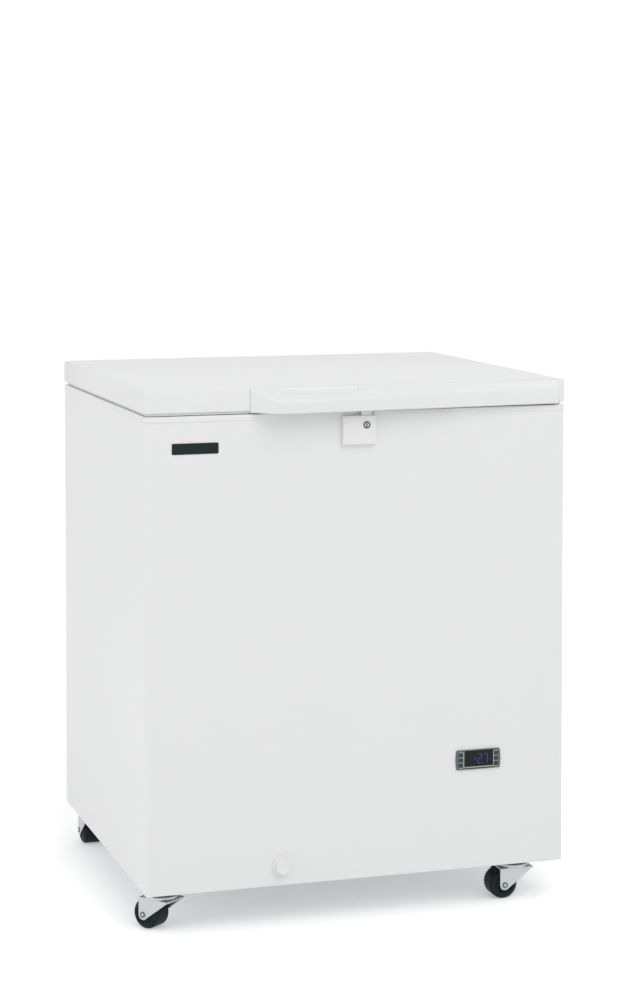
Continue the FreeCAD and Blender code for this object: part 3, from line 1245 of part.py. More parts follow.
def caster_axle(name, x, y, turn):
    """Riveted axle across the fork's legs."""
    body = new_body(f"caster_axle_{name}")
    tip = f"({LEG_OUTER} + rivet_tall)"
    prism(body, "XZ_Plane", f"-{LEG_OUTER}", LEG_OUTER, ("circle", "-trail", AXLE_Z, "axle_radius"))
    prism(body, "XZ_Plane", LEG_OUTER, tip, ("circle", "-trail", AXLE_Z, "rivet_radius"))
    prism(body, "XZ_Plane", f"-{tip}", f"-{LEG_OUTER}", ("circle", "-trail", AXLE_Z, "rivet_radius"))
    place(body, x, y, "0", None, turn)
    return keep(f"caster_axle_{name}", body)


def caster_wheel(name, x, y, turn):
    """Roller wheel with eased edges and dished sides, turned about its bore."""
    body = new_body(f"caster_wheel_{name}")
    half = "wheel_wide / 2"
    bore = "axle_radius + running_gap"
    sketch = sketch_on(body, "YZ_Plane", "-trail")
    rim, web = "wheel_radius - wheel_edge", "wheel_radius * 0.5"
    draw_ring(sketch, [
        (f"-({half})", f"{AXLE_Z} + {bore}"), (f"-({half})", f"{AXLE_Z} + {web}"),
        (f"-({half}) + wheel_dish", f"{AXLE_Z} + {web} + wheel_dish * 0.3"),
        (f"-({half})", f"{AXLE_Z} + {rim}"), (f"-({half}) + wheel_edge", f"{AXLE_Z} + wheel_radius"),
        (f"{half} - wheel_edge", f"{AXLE_Z} + wheel_radius"), (half, f"{AXLE_Z} + {rim}"),
        (f"{half} - wheel_dish", f"{AXLE_Z} + {web} + wheel_dish * 0.3"),
        (half, f"{AXLE_Z} + {web}"), (half, f"{AXLE_Z} + {bore}"),
    ])
    line = sketch.addGeometry(Part.LineSegment(V(-1, number(AXLE_Z), 0), V(1, number(AXLE_Z), 0)), True)
    pin_point(sketch, line, 1, ("-1", AXLE_Z))
    pin_point(sketch, line, 2, ("1", AXLE_Z))
    turn_feature = body.newObject("PartDesign::Revolution", body.Name + "_turn")
    turn_feature.Profile = sketch
    turn_feature.ReferenceAxis = (sketch, ["Axis0"])
    turn_feature.Angle = 360
    place(body, x, y, "0", None, turn)
    return keep(f"caster_wheel_{name}", body)


def casters():
    plates, bolts = [], []
    for name, (x, y, turn) in CASTERS.items():
        plates.append(place(caster_plate(name), x, y))
        caster_fork(name, x, y, turn)
        caster_axle(name, x, y, turn)
        caster_wheel(name, x, y, turn)
    group("caster_plates", plates)
    body = new_body("caster_bolts")
    head_low = minus("ground_gap", "plate_thick + bolt_head_tall")
    prism(body, "XY_Plane", minus("ground_gap", "plate_thick"), FOAM_LOW,
          *[("circle", x, y, "bolt_radius") for x, y in bolt_places()])
    prism(body, "XY_Plane", head_low, minus("ground_gap", "plate_thick"),
          *[("circle", x, y, "bolt_head") for x, y in bolt_places()])
    keep("caster_bolts", body)


def build():
    for make in (
        outer_shell, back_panel, base_pan, foam_body, inner_liner, evaporator_coil, top_trim,
        compressor, compressor_grommets, compressor_relay, filter_drier, refrigerant_pipes,
        service_grille, side_grille, power_inlet, panel_screws, drain_tube,
        lock_housing, lock_barrel, lock_cam, lock_strike, badge_plate,
        controller_bezel, controller_window, controller_case, controller_keys, drain_cap,
        lid_skin, lid_liner, lid_foam, lid_gasket, lid_handle, hinge_pins, casters,
    ):
        make()
    for side, x in HINGES.items():
        hinge_bracket(side, x)
        hinge_leaf(side, x)
    doc.recompute()


def check():
    """Stops before anything is written if an object failed or a shape isn't whole."""
    for thing in doc.Objects:
        if "Invalid" in thing.State or "Error" in thing.State:
            raise RuntimeError(f"{thing.Label} failed: {thing.State}")
    for label, thing in nodes.items():
        if thing.Shape.isNull() or not thing.Shape.isValid() or not thing.Shape.Solids:
            raise RuntimeError(f"{label} has no valid solid")


def export():
    os.makedirs("parts", exist_ok=True)
    for label, thing in nodes.items():
        thing.Shape.exportStep(f"parts/{label}.step")
    print(f"{len(nodes)} sub-parts, {sum(len(t.Shape.Solids) for t in nodes.values())} solids")


build()
check()
export()
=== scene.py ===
import json
import math
from collections import namedtuple

import bmesh
import bpy
import numpy as np
from bpy.props import FloatProperty, FloatVectorProperty, IntProperty, PointerProperty
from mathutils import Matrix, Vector


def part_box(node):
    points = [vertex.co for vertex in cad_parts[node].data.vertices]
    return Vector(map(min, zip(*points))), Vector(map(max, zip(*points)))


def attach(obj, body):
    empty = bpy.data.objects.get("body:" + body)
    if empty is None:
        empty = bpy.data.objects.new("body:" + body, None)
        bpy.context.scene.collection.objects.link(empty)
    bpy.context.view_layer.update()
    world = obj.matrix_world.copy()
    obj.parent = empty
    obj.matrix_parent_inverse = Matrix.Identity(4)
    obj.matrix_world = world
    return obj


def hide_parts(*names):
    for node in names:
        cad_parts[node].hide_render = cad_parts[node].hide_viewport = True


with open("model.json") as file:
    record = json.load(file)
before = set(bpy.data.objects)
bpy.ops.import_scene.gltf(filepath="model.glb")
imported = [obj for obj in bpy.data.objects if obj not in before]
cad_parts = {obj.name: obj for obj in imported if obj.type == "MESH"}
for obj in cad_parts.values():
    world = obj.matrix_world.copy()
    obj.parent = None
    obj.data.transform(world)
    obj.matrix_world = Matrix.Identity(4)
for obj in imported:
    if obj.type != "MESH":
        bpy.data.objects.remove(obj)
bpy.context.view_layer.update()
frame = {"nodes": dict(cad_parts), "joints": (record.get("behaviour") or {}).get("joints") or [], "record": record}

bl_info = {
    "name": "Chest freezer looks",
    "version": (1, 0, 0),
    "blender": (4, 5, 0),
    "location": "3D View > Sidebar > Freezer",
    "description": "Dresses the packed chest freezer with finer surfaces, finishes, light and camera",
    "category": "Object",
}

MM = 0.001
FRONT_FACE = np.array([(1, 0, 0), (0, 0, 1), (0, -1, 0)], float)   # across, up, outwards
ARC_STEPS = 8
FLOOR_SHADE = 0.94
JOINTS = {joint["name"]: joint for joint in frame["joints"]}
CORNERS = ("front_left", "front_right", "rear_left", "rear_right")


# Shapes in millimetres
def box_of(node):
    """Lowest and highest corner of a CAD node."""
    low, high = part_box(node)
    return np.array(low) / MM, np.array(high) / MM


def smooth_step(t):
    """Rises from 0 to 1 while t does, level at both ends: 3t^2 - 2t^3."""
    t = np.clip(t, 0, 1)
    return t * t * (3 - 2 * t)


def grid_faces(rows, columns, wrap):
    """Quads of a grid of points, row after row; the last column joins the first if it wraps."""
    i, j = np.meshgrid(np.arange(rows - 1), np.arange(columns if wrap else columns - 1), indexing="ij")
    following = (j + 1) % columns
    quads = np.stack([i * columns + j, i * columns + following,
                      (i + 1) * columns + following, (i + 1) * columns + j], -1)
    return quads.reshape(-1, 4).tolist()


def shell(grid, wrap=True, close_first=False, close_last=False):
    """Points and faces of a grid (rows, columns, 3), with its first and last rows closed where asked."""
    rows, columns = grid.shape[:2]
    faces = grid_faces(rows, columns, wrap)
    if close_first:
        faces.append(list(range(columns))[::-1])
    if close_last:
        faces.append(list(range((rows - 1) * columns, rows * columns)))
    return grid.reshape(-1, 3), faces


def join(*parts):
    """Several shells as one list of points and faces."""
    points, faces, offset = [], [], 0
    for part_points, part_faces in parts:
        points.append(part_points)
        faces += [[k + offset for k in face] for face in part_faces]
        offset += len(part_points)
    return np.concatenate(points), faces


def placed(part, basis, origin):
    """The part with its own axes (across, up, outwards) laid along the basis at the origin."""
    points, faces = part
    return points @ basis + np.array(origin, float), faces


def outline(corners, inset=0.0, steps=ARC_STEPS):
    """A convex ring through corners (x, y, radius), anticlockwise: round each, the arc's middle is where both
    neighbouring runs are one radius away, and a ring further in has the same middles and smaller radii."""
    made = []
    count = len(corners)
    for k, (x, y, radius) in enumerate(corners):
        here = np.array((x, y), float)
        before = np.array(corners[k - 1][:2], float) - here
        after = np.array(corners[(k + 1) % count][:2], float) - here
        before, after = before / np.linalg.norm(before), after / np.linalg.norm(after)
        half = math.acos(np.clip(before @ after, -1, 1)) / 2
        middle = here + (before + after) / np.linalg.norm(before + after) * radius / math.sin(half)
        start = math.atan2(before[0], -before[1])
        turn = math.pi - 2 * half
        angles = start + turn * np.linspace(0, 1, steps)
        made.append(middle + (radius - inset) * np.stack([np.cos(angles), np.sin(angles)], 1))
    return np.concatenate(made)


def eased_plate(corners, low, high, ease, back_ease=0.0, steps=4):
    """A plate whose outline is lifted from low to high. Over the last stretch the ring moves in along a
    quarter circle: inset = ease (1 - cos a), height = high - ease (1 - sin a)."""
    corners = [(x, y, max(radius, ease, back_ease) + 0.01) for x, y, radius in corners]
    angles = np.linspace(0, math.pi / 2, steps)
    rings = []
    if back_ease:
        for a in angles[::-1]:
            rings.append((back_ease * (1 - math.cos(a)), low + back_ease * (1 - math.sin(a))))
    else:
        rings.append((0.0, low))
    rings += [(ease * (1 - math.cos(a)), high - ease * (1 - math.sin(a))) for a in angles]
    grid = np.stack([np.column_stack([ring, np.full(len(ring), height)])
                     for ring, height in ((outline(corners, inset), height) for inset, height in rings)])
    return shell(grid, close_first=True, close_last=True)


def holed_plate(corners, hole, low, high, ease, steps=4):
    """A plate round a hole at its origin: from the hole's lower edge out to the outline, up its side and round
    the eased edge, and back to the hole, whose points lie in the outline's own directions."""
    corners = [(x, y, max(radius, ease) + 0.01) for x, y, radius in corners]
    rings = [(outline(corners), low)]
    for a in np.linspace(0, math.pi / 2, steps):
        rings.append((outline(corners, ease * (1 - math.cos(a))), high - ease * (1 - math.sin(a))))
    bore = rings[0][0] / np.linalg.norm(rings[0][0], axis=1)[:, None] * hole
    rings = [(bore, low), *rings, (bore, high), (bore, low)]
    return shell(np.stack([np.column_stack([ring, np.full(len(ring), height)]) for ring, height in rings]))


def rectangle(left, right, low, high, radius):
    return [(left, low, radius), (right, low, radius), (right, high, radius), (left, high, radius)]


def turned(profile, steps=64, radius_at=None, loop=False):
    """A profile of (radius, height) carried round its axis; radius_at may scale the radius with the angle.
    A loop joins its last point to its first and leaves a bore; otherwise both ends are closed."""
    profile = np.array(profile, float)
    angles = np.arange(steps) * 2 * math.pi / steps
    radii = profile[:, :1] * np.ones((1, steps))
    if radius_at is not None:
        radii = radius_at(radii, profile[:, 1:], angles[None, :])
    heights = profile[:, 1:] * np.ones((1, steps))
    grid = np.stack([radii * np.cos(angles), radii * np.sin(angles), heights], -1)
    if loop:
        grid = np.concatenate([grid, grid[:1]])
    return shell(grid, close_first=not loop, close_last=not loop)


def swept_ring(profile, left, right, front, back, radius, closed=True, cap=False, steps=ARC_STEPS):
    """A profile of (inset, height) carried round a rounded rectangle: at a corner the point is its arc's middle
    plus (radius - inset) along the arc's direction, and past the middle it goes on along the diagonal."""
    profile = np.array(profile, float)
    inset, height = profile[:, 0], profile[:, 1]
    columns = []
    for k, (sx, sy) in enumerate([(1, -1), (1, 1), (-1, 1), (-1, -1)]):
        corner = np.array([right if sx > 0 else left, back if sy > 0 else front])
        middle = corner - radius * np.array([sx, sy])
        for angle in -math.pi / 2 + k * math.pi / 2 + np.linspace(0, math.pi / 2, steps):
            direction = np.array([math.cos(angle), math.sin(angle)])
            plan = (middle + np.maximum(radius - inset, 0)[:, None] * direction
                    - np.maximum(inset - radius, 0)[:, None] * np.array([sx, sy]))
            columns.append(np.column_stack([plan, height]))
    grid = np.stack(columns, 1)
    if closed:
        grid = np.concatenate([grid, grid[:1]])
    return shell(grid, close_last=cap)


def arc_points(middle, radius, start, end, steps=ARC_STEPS):
    """Points of an arc, angles in degrees."""
    angles = np.radians(np.linspace(start, end, steps))
    return [(middle[0] + radius * math.cos(a), middle[1] + radius * math.sin(a)) for a in angles]


def mirrored(part):
    """The part turned half round its first axis, as for the wheel's other side."""
    return placed(part, np.diag([1.0, -1.0, -1.0]), (0, 0, 0))


def make_piece(name, part, body, slot, replaces=(), sharp=38, finish=None):
    """Puts a part in millimetres into the scene as one mesh that rides on a CAD body, with points nearer than
    2 micrometres welded, faces outwards, and edges sharp where they bend by more than the given degrees."""
    points, faces = part
    mesh = bpy.data.meshes.new(name)
    mesh.from_pydata((points * MM).tolist(), [], faces)
    work = bmesh.new()
    work.from_mesh(mesh)
    bmesh.ops.remove_doubles(work, verts=work.verts, dist=2e-6)
    bmesh.ops.dissolve_degenerate(work, edges=work.edges, dist=1e-6)
    bmesh.ops.recalc_face_normals(work, faces=work.faces)
    work.to_mesh(mesh)
    work.free()
    mesh.shade_smooth()
    mesh.set_sharp_from_angle(angle=math.radians(sharp))
    mesh.materials.append(finish or finish_for(slot))
    piece = bpy.data.objects.new(name, mesh)
    bpy.context.scene.collection.objects.link(piece)
    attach(piece, body)
    if replaces:
        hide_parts(*replaces)


def front_piece(name, parts, body, slot, replaces=(), finish=None, at=(0, 0), out=0):
    """Parts drawn as (across, up, outwards) from a spot on the front, as one piece."""
    part = placed(join(*parts), FRONT_FACE, (at[0], -out, at[1]))
    make_piece(name, part, body, slot, replaces, finish=finish)


# Finishes
def new_group(name, inputs, outputs):
    """An empty shader node group with named sockets: (name, socket kind, default)."""
    tree = bpy.data.node_groups.new(name, "ShaderNodeTree")
    for label, kind, default in inputs:
        socket = tree.interface.new_socket(name=label, in_out="INPUT", socket_type=kind)
        socket.default_value = default
    for label, kind in outputs:
        tree.interface.new_socket(name=label, in_out="OUTPUT", socket_type=kind)
    return tree, tree.nodes.new("NodeGroupInput"), tree.nodes.new("NodeGroupOutput")


def node(tree, kind, **settings):
    """A node with its properties and unlinked inputs set; inputs are given as in_<name> with _ for a space."""
    made = tree.nodes.new(kind)
    for key, value in settings.items():
        if key.startswith("in_"):
            made.inputs[key[3:].replace("_", " ")].default_value = value
        else:
            setattr(made, key, value)
    return made


def math_node(tree, operation, first, second):
    """A math node whose two inputs are sockets or numbers; gives its output."""
    made = tree.nodes.new("ShaderNodeMath")
    made.operation = operation
    for index, value in enumerate((first, second)):
        if isinstance(value, (int, float)):
            made.inputs[index].default_value = value
        else:
            tree.links.new(value, made.inputs[index])
    return made.outputs[0]


def mixed_colour(tree, factor, first, second, blend="MIX"):
    made = tree.nodes.new("ShaderNodeMix")
    made.data_type, made.blend_type = "RGBA", blend
    for index, value in ((0, factor), (6, first), (7, second)):
        if isinstance(value, bpy.types.NodeSocket):
            tree.links.new(value, made.inputs[index])
        else:
            made.inputs[index].default_value = value
    return made.outputs[2]


def surface_variation():
    """Drifts of tone and gloss: the colour times 1 + Tint (n - 1/2), n a slow noise, and the roughness plus
    Spread times the sum of that and a fine noise, each less a half."""
    tree, given, out = new_group(
        "surface_variation",
        [("Colour", "NodeSocketColor", (0.8, 0.8, 0.8, 1)), ("Tint", "NodeSocketFloat", 0.03),
         ("Roughness", "NodeSocketFloat", 0.4), ("Spread", "NodeSocketFloat", 0.1),
         ("Scale", "NodeSocketFloat", 9.0)],
        [("Colour", "NodeSocketColor"), ("Roughness", "NodeSocketFloat")])
    link = tree.links.new
    place = node(tree, "ShaderNodeTexCoord")
    slow = node(tree, "ShaderNodeTexNoise", in_Detail=3.0, in_Roughness=0.6)
    fine = node(tree, "ShaderNodeTexNoise", in_Detail=4.0, in_Scale=130.0)
    link(place.outputs["Object"], slow.inputs["Vector"])
    link(place.outputs["Object"], fine.inputs["Vector"])
    link(given.outputs["Scale"], slow.inputs["Scale"])
    off = math_node(tree, "SUBTRACT", slow.outputs["Fac"], 0.5)
    level = math_node(tree, "ADD", math_node(tree, "MULTIPLY", off, given.outputs["Tint"]), 1.0)
    grey = node(tree, "ShaderNodeCombineColor")
    for index in range(3):
        link(level, grey.inputs[index])
    tinted = mixed_colour(tree, 1.0, given.outputs["Colour"], grey.outputs[0], "MULTIPLY")
    link(tinted, out.inputs["Colour"])
    both = math_node(tree, "ADD", off, math_node(tree, "SUBTRACT", fine.outputs["Fac"], 0.5))
    drift = math_node(tree, "MULTIPLY", both, given.outputs["Spread"])
    link(math_node(tree, "ADD", given.outputs["Roughness"], drift), out.inputs["Roughness"])
    return tree


def edge_wear():
    """Where the surface bends within the radius, a broken line takes the worn colour: mask = (1 - n.b) x noise,
    n the surface's normal and b the normal rounded over the radius. It also gives the rounded normal."""
    tree, given, out = new_group(
        "edge_wear",
        [("Colour", "NodeSocketColor", (0.8, 0.8, 0.8, 1)), ("Worn", "NodeSocketColor", (0.6, 0.6, 0.6, 1)),
         ("Amount", "NodeSocketFloat", 0.5), ("Radius", "NodeSocketFloat", 0.001)],
        [("Colour", "NodeSocketColor"), ("Normal", "NodeSocketVector")])
    link = tree.links.new
    rounded = node(tree, "ShaderNodeBevel", samples=4)
    link(given.outputs["Radius"], rounded.inputs["Radius"])
    shape = node(tree, "ShaderNodeNewGeometry")
    dot = node(tree, "ShaderNodeVectorMath", operation="DOT_PRODUCT")
    link(rounded.outputs["Normal"], dot.inputs[0])
    link(shape.outputs["Normal"], dot.inputs[1])
    bent = math_node(tree, "MULTIPLY", math_node(tree, "SUBTRACT", 1.0, dot.outputs["Value"]), 5.0)
    place = node(tree, "ShaderNodeTexCoord")
    broken = node(tree, "ShaderNodeTexNoise", in_Scale=160.0, in_Detail=5.0)
    link(place.outputs["Object"], broken.inputs["Vector"])
    patches = node(tree, "ShaderNodeMapRange", in_From_Min=0.48, in_From_Max=0.62)
    link(broken.outputs["Fac"], patches.inputs["Value"])
    mask = math_node(tree, "MULTIPLY", bent, patches.outputs[0])
    mask = math_node(tree, "MULTIPLY", mask, given.outputs["Amount"])
    limited = node(tree, "ShaderNodeClamp")
    link(mask, limited.inputs["Value"])
    link(mixed_colour(tree, limited.outputs[0], given.outputs["Colour"], given.outputs["Worn"]),
                   out.inputs["Colour"])
    link(rounded.outputs["Normal"], out.inputs["Normal"])
    return tree


def relief_group(name, build):
    """A group that gives one Height from Object coordinates by build(tree, vector socket, scale socket)."""
    tree, given, out = new_group(name, [("Scale", "NodeSocketFloat", 900.0)], [("Height", "NodeSocketFloat")])
    place = node(tree, "ShaderNodeTexCoord")
    tree.links.new(build(tree, place.outputs["Object"], given.outputs["Scale"]), out.inputs["Height"])
    return tree


def noise_relief(detail, stretch=None):
    def build(tree, vector, scale):
        if stretch:
            mapping = node(tree, "ShaderNodeMapping")
            mapping.inputs["Scale"].default_value = stretch
            tree.links.new(vector, mapping.inputs["Vector"])
            vector = mapping.outputs["Vector"]
        noise = node(tree, "ShaderNodeTexNoise", in_Detail=detail)
        tree.links.new(vector, noise.inputs["Vector"])
        tree.links.new(scale, noise.inputs["Scale"])
        return noise.outputs["Fac"]
    return build


def cell_relief(feature, output="Distance"):
    def build(tree, vector, scale):
        cells = node(tree, "ShaderNodeTexVoronoi", feature=feature)
        tree.links.new(vector, cells.inputs["Vector"])
        tree.links.new(scale, cells.inputs["Scale"])
        if output == "Distance":
            return cells.outputs["Distance"]
        split = node(tree, "ShaderNodeSeparateColor")
        tree.links.new(cells.outputs["Color"], split.inputs[0])
        return split.outputs[0]
    return build


RELIEFS = {
    "orange_peel": noise_relief(1.5),
    "moulded_grain": noise_relief(5.0),
    "stucco": cell_relief("SMOOTH_F1"),
    "spangle": cell_relief("F1", "Color"),
    "brushed": noise_relief(4.0, (1.0, 1.0, 0.04)),
    "foam_cells": cell_relief("F1"),
}
GROUPS = {}


def group_for(name):
    """The named node group, made when it is first asked for."""
    if name not in GROUPS:
        if name in RELIEFS:
            GROUPS[name] = relief_group(name, RELIEFS[name])
        else:
            GROUPS[name] = {"surface_variation": surface_variation, "edge_wear": edge_wear}[name]()
    return GROUPS[name]


Finish = namedtuple("Finish", "colour roughness metallic relief scale depth tint spread worn wear rounded coat "
                    "specular", defaults=(0.0, 0.5))
# The relief's scale is per metre; its depth and the rounded edge are in millimetres. A colour of None is the
# user's own, in FreezerColours.
FINISHES = {
    "white_enamel": Finish(
        None, 0.36, 0, "orange_peel", 650, 0.01, 0.02, 0.08,
        (0.62, 0.63, 0.64), 0.25, 0.8, coat=0.12),
    "white_plastic": Finish(
        None, 0.42, 0, "moulded_grain", 1500, 0.008, 0.024, 0.1,
        (0.86, 0.86, 0.86), 0.2, 0.8),
    "handle_plastic": Finish(
        None, 0.36, 0, "moulded_grain", 1400, 0.007, 0.03, 0.1,
        (0.84, 0.84, 0.84), 0.2, 0.8),
    "galvanised_sheet": Finish(
        (0.46, 0.48, 0.5), 0.42, 0.75, "spangle", 110, 0.02, 0.16, 0.22,
        (0.7, 0.71, 0.72), 0.3, 0.5),
    "foam": Finish(
        (0.78, 0.68, 0.42), 0.85, 0, "foam_cells", 700, 0.3, 0.12, 0.05,
        (0.84, 0.76, 0.55), 0.5, 0.6, specular=0.2),
    "tank_sheet": Finish(
        (0.76, 0.77, 0.775), 0.36, 0.55, "stucco", 150, 0.55, 0.05, 0.1,
        (0.82, 0.83, 0.83), 0.2, 2),
    "aluminium_tube": Finish(
        (0.66, 0.67, 0.68), 0.35, 0.9, "brushed", 900, 0.01, 0.06, 0.12,
        (0.78, 0.78, 0.78), 0.2, 0.5),
    "black_enamel": Finish(
        (0.015, 0.015, 0.016), 0.28, 0, "orange_peel", 500, 0.02, 0.15, 0.12,
        (0.1, 0.1, 0.1), 0.4, 0.8, coat=0.3),
    "black_rubber": Finish(
        (0.02, 0.02, 0.021), 0.75, 0, "moulded_grain", 1200, 0.03, 0.15, 0.12,
        (0.05, 0.05, 0.05), 0.4, 0.8, specular=0.3),
    "black_plastic": Finish(
        (0.022, 0.023, 0.024), 0.5, 0, "moulded_grain", 1500, 0.015, 0.12, 0.12,
        (0.06, 0.06, 0.06), 0.4, 0.5),
    "copper": Finish(
        (0.62, 0.29, 0.16), 0.32, 0.95, "brushed", 900, 0.01, 0.15, 0.15,
        (0.75, 0.42, 0.28), 0.3, 0.5),
    "zinc_steel": Finish(
        (0.54, 0.57, 0.585), 0.4, 0.8, "moulded_grain", 420, 0.02, 0.1, 0.18,
        (0.74, 0.76, 0.78), 0.75, 0.7),
    "lock_metal": Finish(
        (0.16, 0.16, 0.17), 0.34, 0.85, "brushed", 1500, 0.01, 0.12, 0.15,
        (0.42, 0.42, 0.43), 0.6, 0.25),
    "black_badge": Finish(
        None, 0.26, 0, "orange_peel", 300, 0.006, 0.1, 0.06,
        (0.1, 0.12, 0.12), 0.3, 0.3, specular=0.2),
    "grey_plastic": Finish(
        None, 0.5, 0, "moulded_grain", 1800, 0.012, 0.08, 0.1,
        (0.3, 0.33, 0.33), 0.5, 0.35),
    "dark_window": Finish(
        (0.006, 0.013, 0.012), 0.2, 0, "orange_peel", 160, 0.003, 0.2, 0.05,
        (0.03, 0.04, 0.04), 0.2, 0.2, specular=0.18),
    "key_plastic": Finish(
        (0.038, 0.054, 0.051), 0.55, 0, "moulded_grain", 2200, 0.012, 0.1, 0.1,
        (0.16, 0.2, 0.19), 0.6, 0.3, specular=0.25),
    "pale_print": Finish(
        (0.42, 0.47, 0.455), 0.5, 0, "moulded_grain", 1800, 0.008, 0.08, 0.1,
        (0.6, 0.62, 0.61), 0.3, 0.3),
    "grey_gasket": Finish(
        (0.82, 0.825, 0.825), 0.62, 0, "moulded_grain", 1300, 0.012, 0.06, 0.1,
        (0.7, 0.71, 0.71), 0.2, 0.6),
    # Grey of the strip that paints the seam's shadow at the handle's left end
    "painted_seam_shadow_grey": Finish(
        (0.66, 0.67, 0.675), 0.62, 0, "moulded_grain", 1300, 0.012, 0.06, 0.1,
        (0.6, 0.61, 0.61), 0.2, 0.6),
    "wheel_black": Finish(
        None, 0.5, 0, "moulded_grain", 900, 0.02, 0.2, 0.14,
        (0.03, 0.045, 0.045), 0.4, 0.6, specular=0.16),
}
MATERIALS = {}


def finish_for(slot):
    """The slot's procedural material: variation and wear feed the colour, and the relief feeds a Bump node."""
    if slot in MATERIALS:
        return MATERIALS[slot]
    finish = FINISHES[slot]
    colour = finish.colour or getattr(bpy.context.scene.freezer_colours, slot)
    material = bpy.data.materials.new(slot)
    material.use_nodes = True
    tree = material.node_tree
    link = tree.links.new
    shader = tree.nodes["Principled BSDF"]
    shader.inputs["Metallic"].default_value = finish.metallic
    shader.inputs["Coat Weight"].default_value = finish.coat
    shader.inputs["Coat Roughness"].default_value = 0.12
    shader.inputs["Specular IOR Level"].default_value = finish.specular
    variation = node(tree, "ShaderNodeGroup", node_tree=group_for("surface_variation"), in_Tint=finish.tint,
                     in_Colour=(*colour, 1), in_Roughness=finish.roughness, in_Spread=finish.spread)
    wearing = node(tree, "ShaderNodeGroup", node_tree=group_for("edge_wear"), in_Worn=(*finish.worn, 1),
                   in_Amount=finish.wear, in_Radius=finish.rounded * MM)
    height = node(tree, "ShaderNodeGroup", node_tree=group_for(finish.relief), in_Scale=float(finish.scale))
    bump = node(tree, "ShaderNodeBump", in_Distance=finish.depth * MM, in_Strength=1.0)
    link(variation.outputs["Colour"], wearing.inputs["Colour"])
    link(wearing.outputs["Colour"], shader.inputs["Base Color"])
    link(variation.outputs["Roughness"], shader.inputs["Roughness"])
    link(height.outputs["Height"], bump.inputs["Height"])
    link(wearing.outputs["Normal"], bump.inputs["Normal"])
    link(bump.outputs["Normal"], shader.inputs["Normal"])
    MATERIALS[slot] = material
    return material


def glowing_finish(name, colour, strength):
    """The lit segments: dark plastic whose emission dims a little from place to place."""
    material = bpy.data.materials.new(name)
    material.use_nodes = True
    tree = material.node_tree
    shader = tree.nodes["Principled BSDF"]
    shader.inputs["Base Color"].default_value = (0.01, 0.01, 0.02, 1)
    shader.inputs["Emission Strength"].default_value = strength
    variation = node(tree, "ShaderNodeGroup", node_tree=group_for("surface_variation"), in_Tint=0.35,
                     in_Colour=(*colour, 1), in_Roughness=0.4, in_Spread=0.1, in_Scale=260.0)
    tree.links.new(variation.outputs["Colour"], shader.inputs["Emission Color"])
    tree.links.new(variation.outputs["Roughness"], shader.inputs["Roughness"])
    return material


# The sizes and colours that a user would change
class FreezerSizes(bpy.types.PropertyGroup):
    lid_side_radius: FloatProperty(
        name="Lid side radius", description="Rounding of the lid's left and right top edges",
        default=5.0 * MM, min=1.0 * MM, max=9.0 * MM, unit="LENGTH")
    lid_front_radius: FloatProperty(
        name="Lid front radius", description="Rounding of the lid's front and back edges",
        default=1.2 * MM, min=0.3 * MM, max=4.0 * MM, unit="LENGTH")
    dish_depth: FloatProperty(
        name="Dish depth", description="Depth of the shallow dish beside the lid",
        default=3.4 * MM, min=0.0 * MM, max=5.0 * MM, unit="LENGTH")
    wheel_edge: FloatProperty(
        name="Wheel edge", description="Width of the softened slant at the wheels' edges",
        default=5.0 * MM, min=1.0 * MM, max=6.0 * MM, unit="LENGTH")
    digit_height: FloatProperty(
        name="Digit height", description="Height of the display's digits",
        default=14.8 * MM, min=4.0 * MM, max=20.0 * MM, unit="LENGTH")
    digit_slant: FloatProperty(
        name="Digit slant", description="Lean of the digits to the right",
        default=0.06, min=0.0, max=0.3, subtype="ANGLE")
    reading: IntProperty(
        name="Reading", description="Number below zero that the display shows", default=27, min=10, max=99)
    cap_scallops: IntProperty(
        name="Cap scallops", description="Finger scallops round the drain cap", default=6, min=0, max=12)


class FreezerColours(bpy.types.PropertyGroup):
    white_enamel: FloatVectorProperty(
        name="Painted sheet", description="Colour of the cabinet and the lid's cap",
        default=(0.8, 0.803, 0.806), subtype="COLOR", size=3, min=0.0, max=1.0)
    white_plastic: FloatVectorProperty(
        name="White plastic", description="Colour of the trim and the lid's inner moulding",
        default=(0.8, 0.803, 0.8), subtype="COLOR", size=3, min=0.0, max=1.0)
    handle_plastic: FloatVectorProperty(
        name="Handle", description="Colour of the lid's handle",
        default=(0.8, 0.806, 0.806), subtype="COLOR", size=3, min=0.0, max=1.0)
    wheel_black: FloatVectorProperty(
        name="Wheels", description="Colour of the caster wheels",
        default=(0.0075, 0.0185, 0.0185), subtype="COLOR", size=3, min=0.0, max=1.0)
    black_badge: FloatVectorProperty(
        name="Name plate", description="Colour of the bare name plate",
        default=(0.008, 0.016, 0.016), subtype="COLOR", size=3, min=0.0, max=1.0)
    grey_plastic: FloatVectorProperty(
        name="Controller", description="Colour of the controller's bezel",
        default=(0.105, 0.122, 0.122), subtype="COLOR", size=3, min=0.0, max=1.0)
    digits: FloatVectorProperty(
        name="Digits", description="Colour of the lit digits",
        default=(0.022, 0.02, 0.3), subtype="COLOR", size=3, min=0.0, max=1.0)


class FreezerLight(bpy.types.PropertyGroup):
    sky: FloatProperty(
        name="Sky", description="Strength of the even light from all sides",
        default=0.70, min=0.0, max=2.0, subtype="FACTOR")
    key: FloatProperty(
        name="Key light", description="Power of the large light above the front",
        default=56.0, min=0.0, max=2000.0, unit="POWER")
    side: FloatProperty(
        name="Side light", description="Power of the large light at the left",
        default=24.0, min=0.0, max=2000.0, unit="POWER")


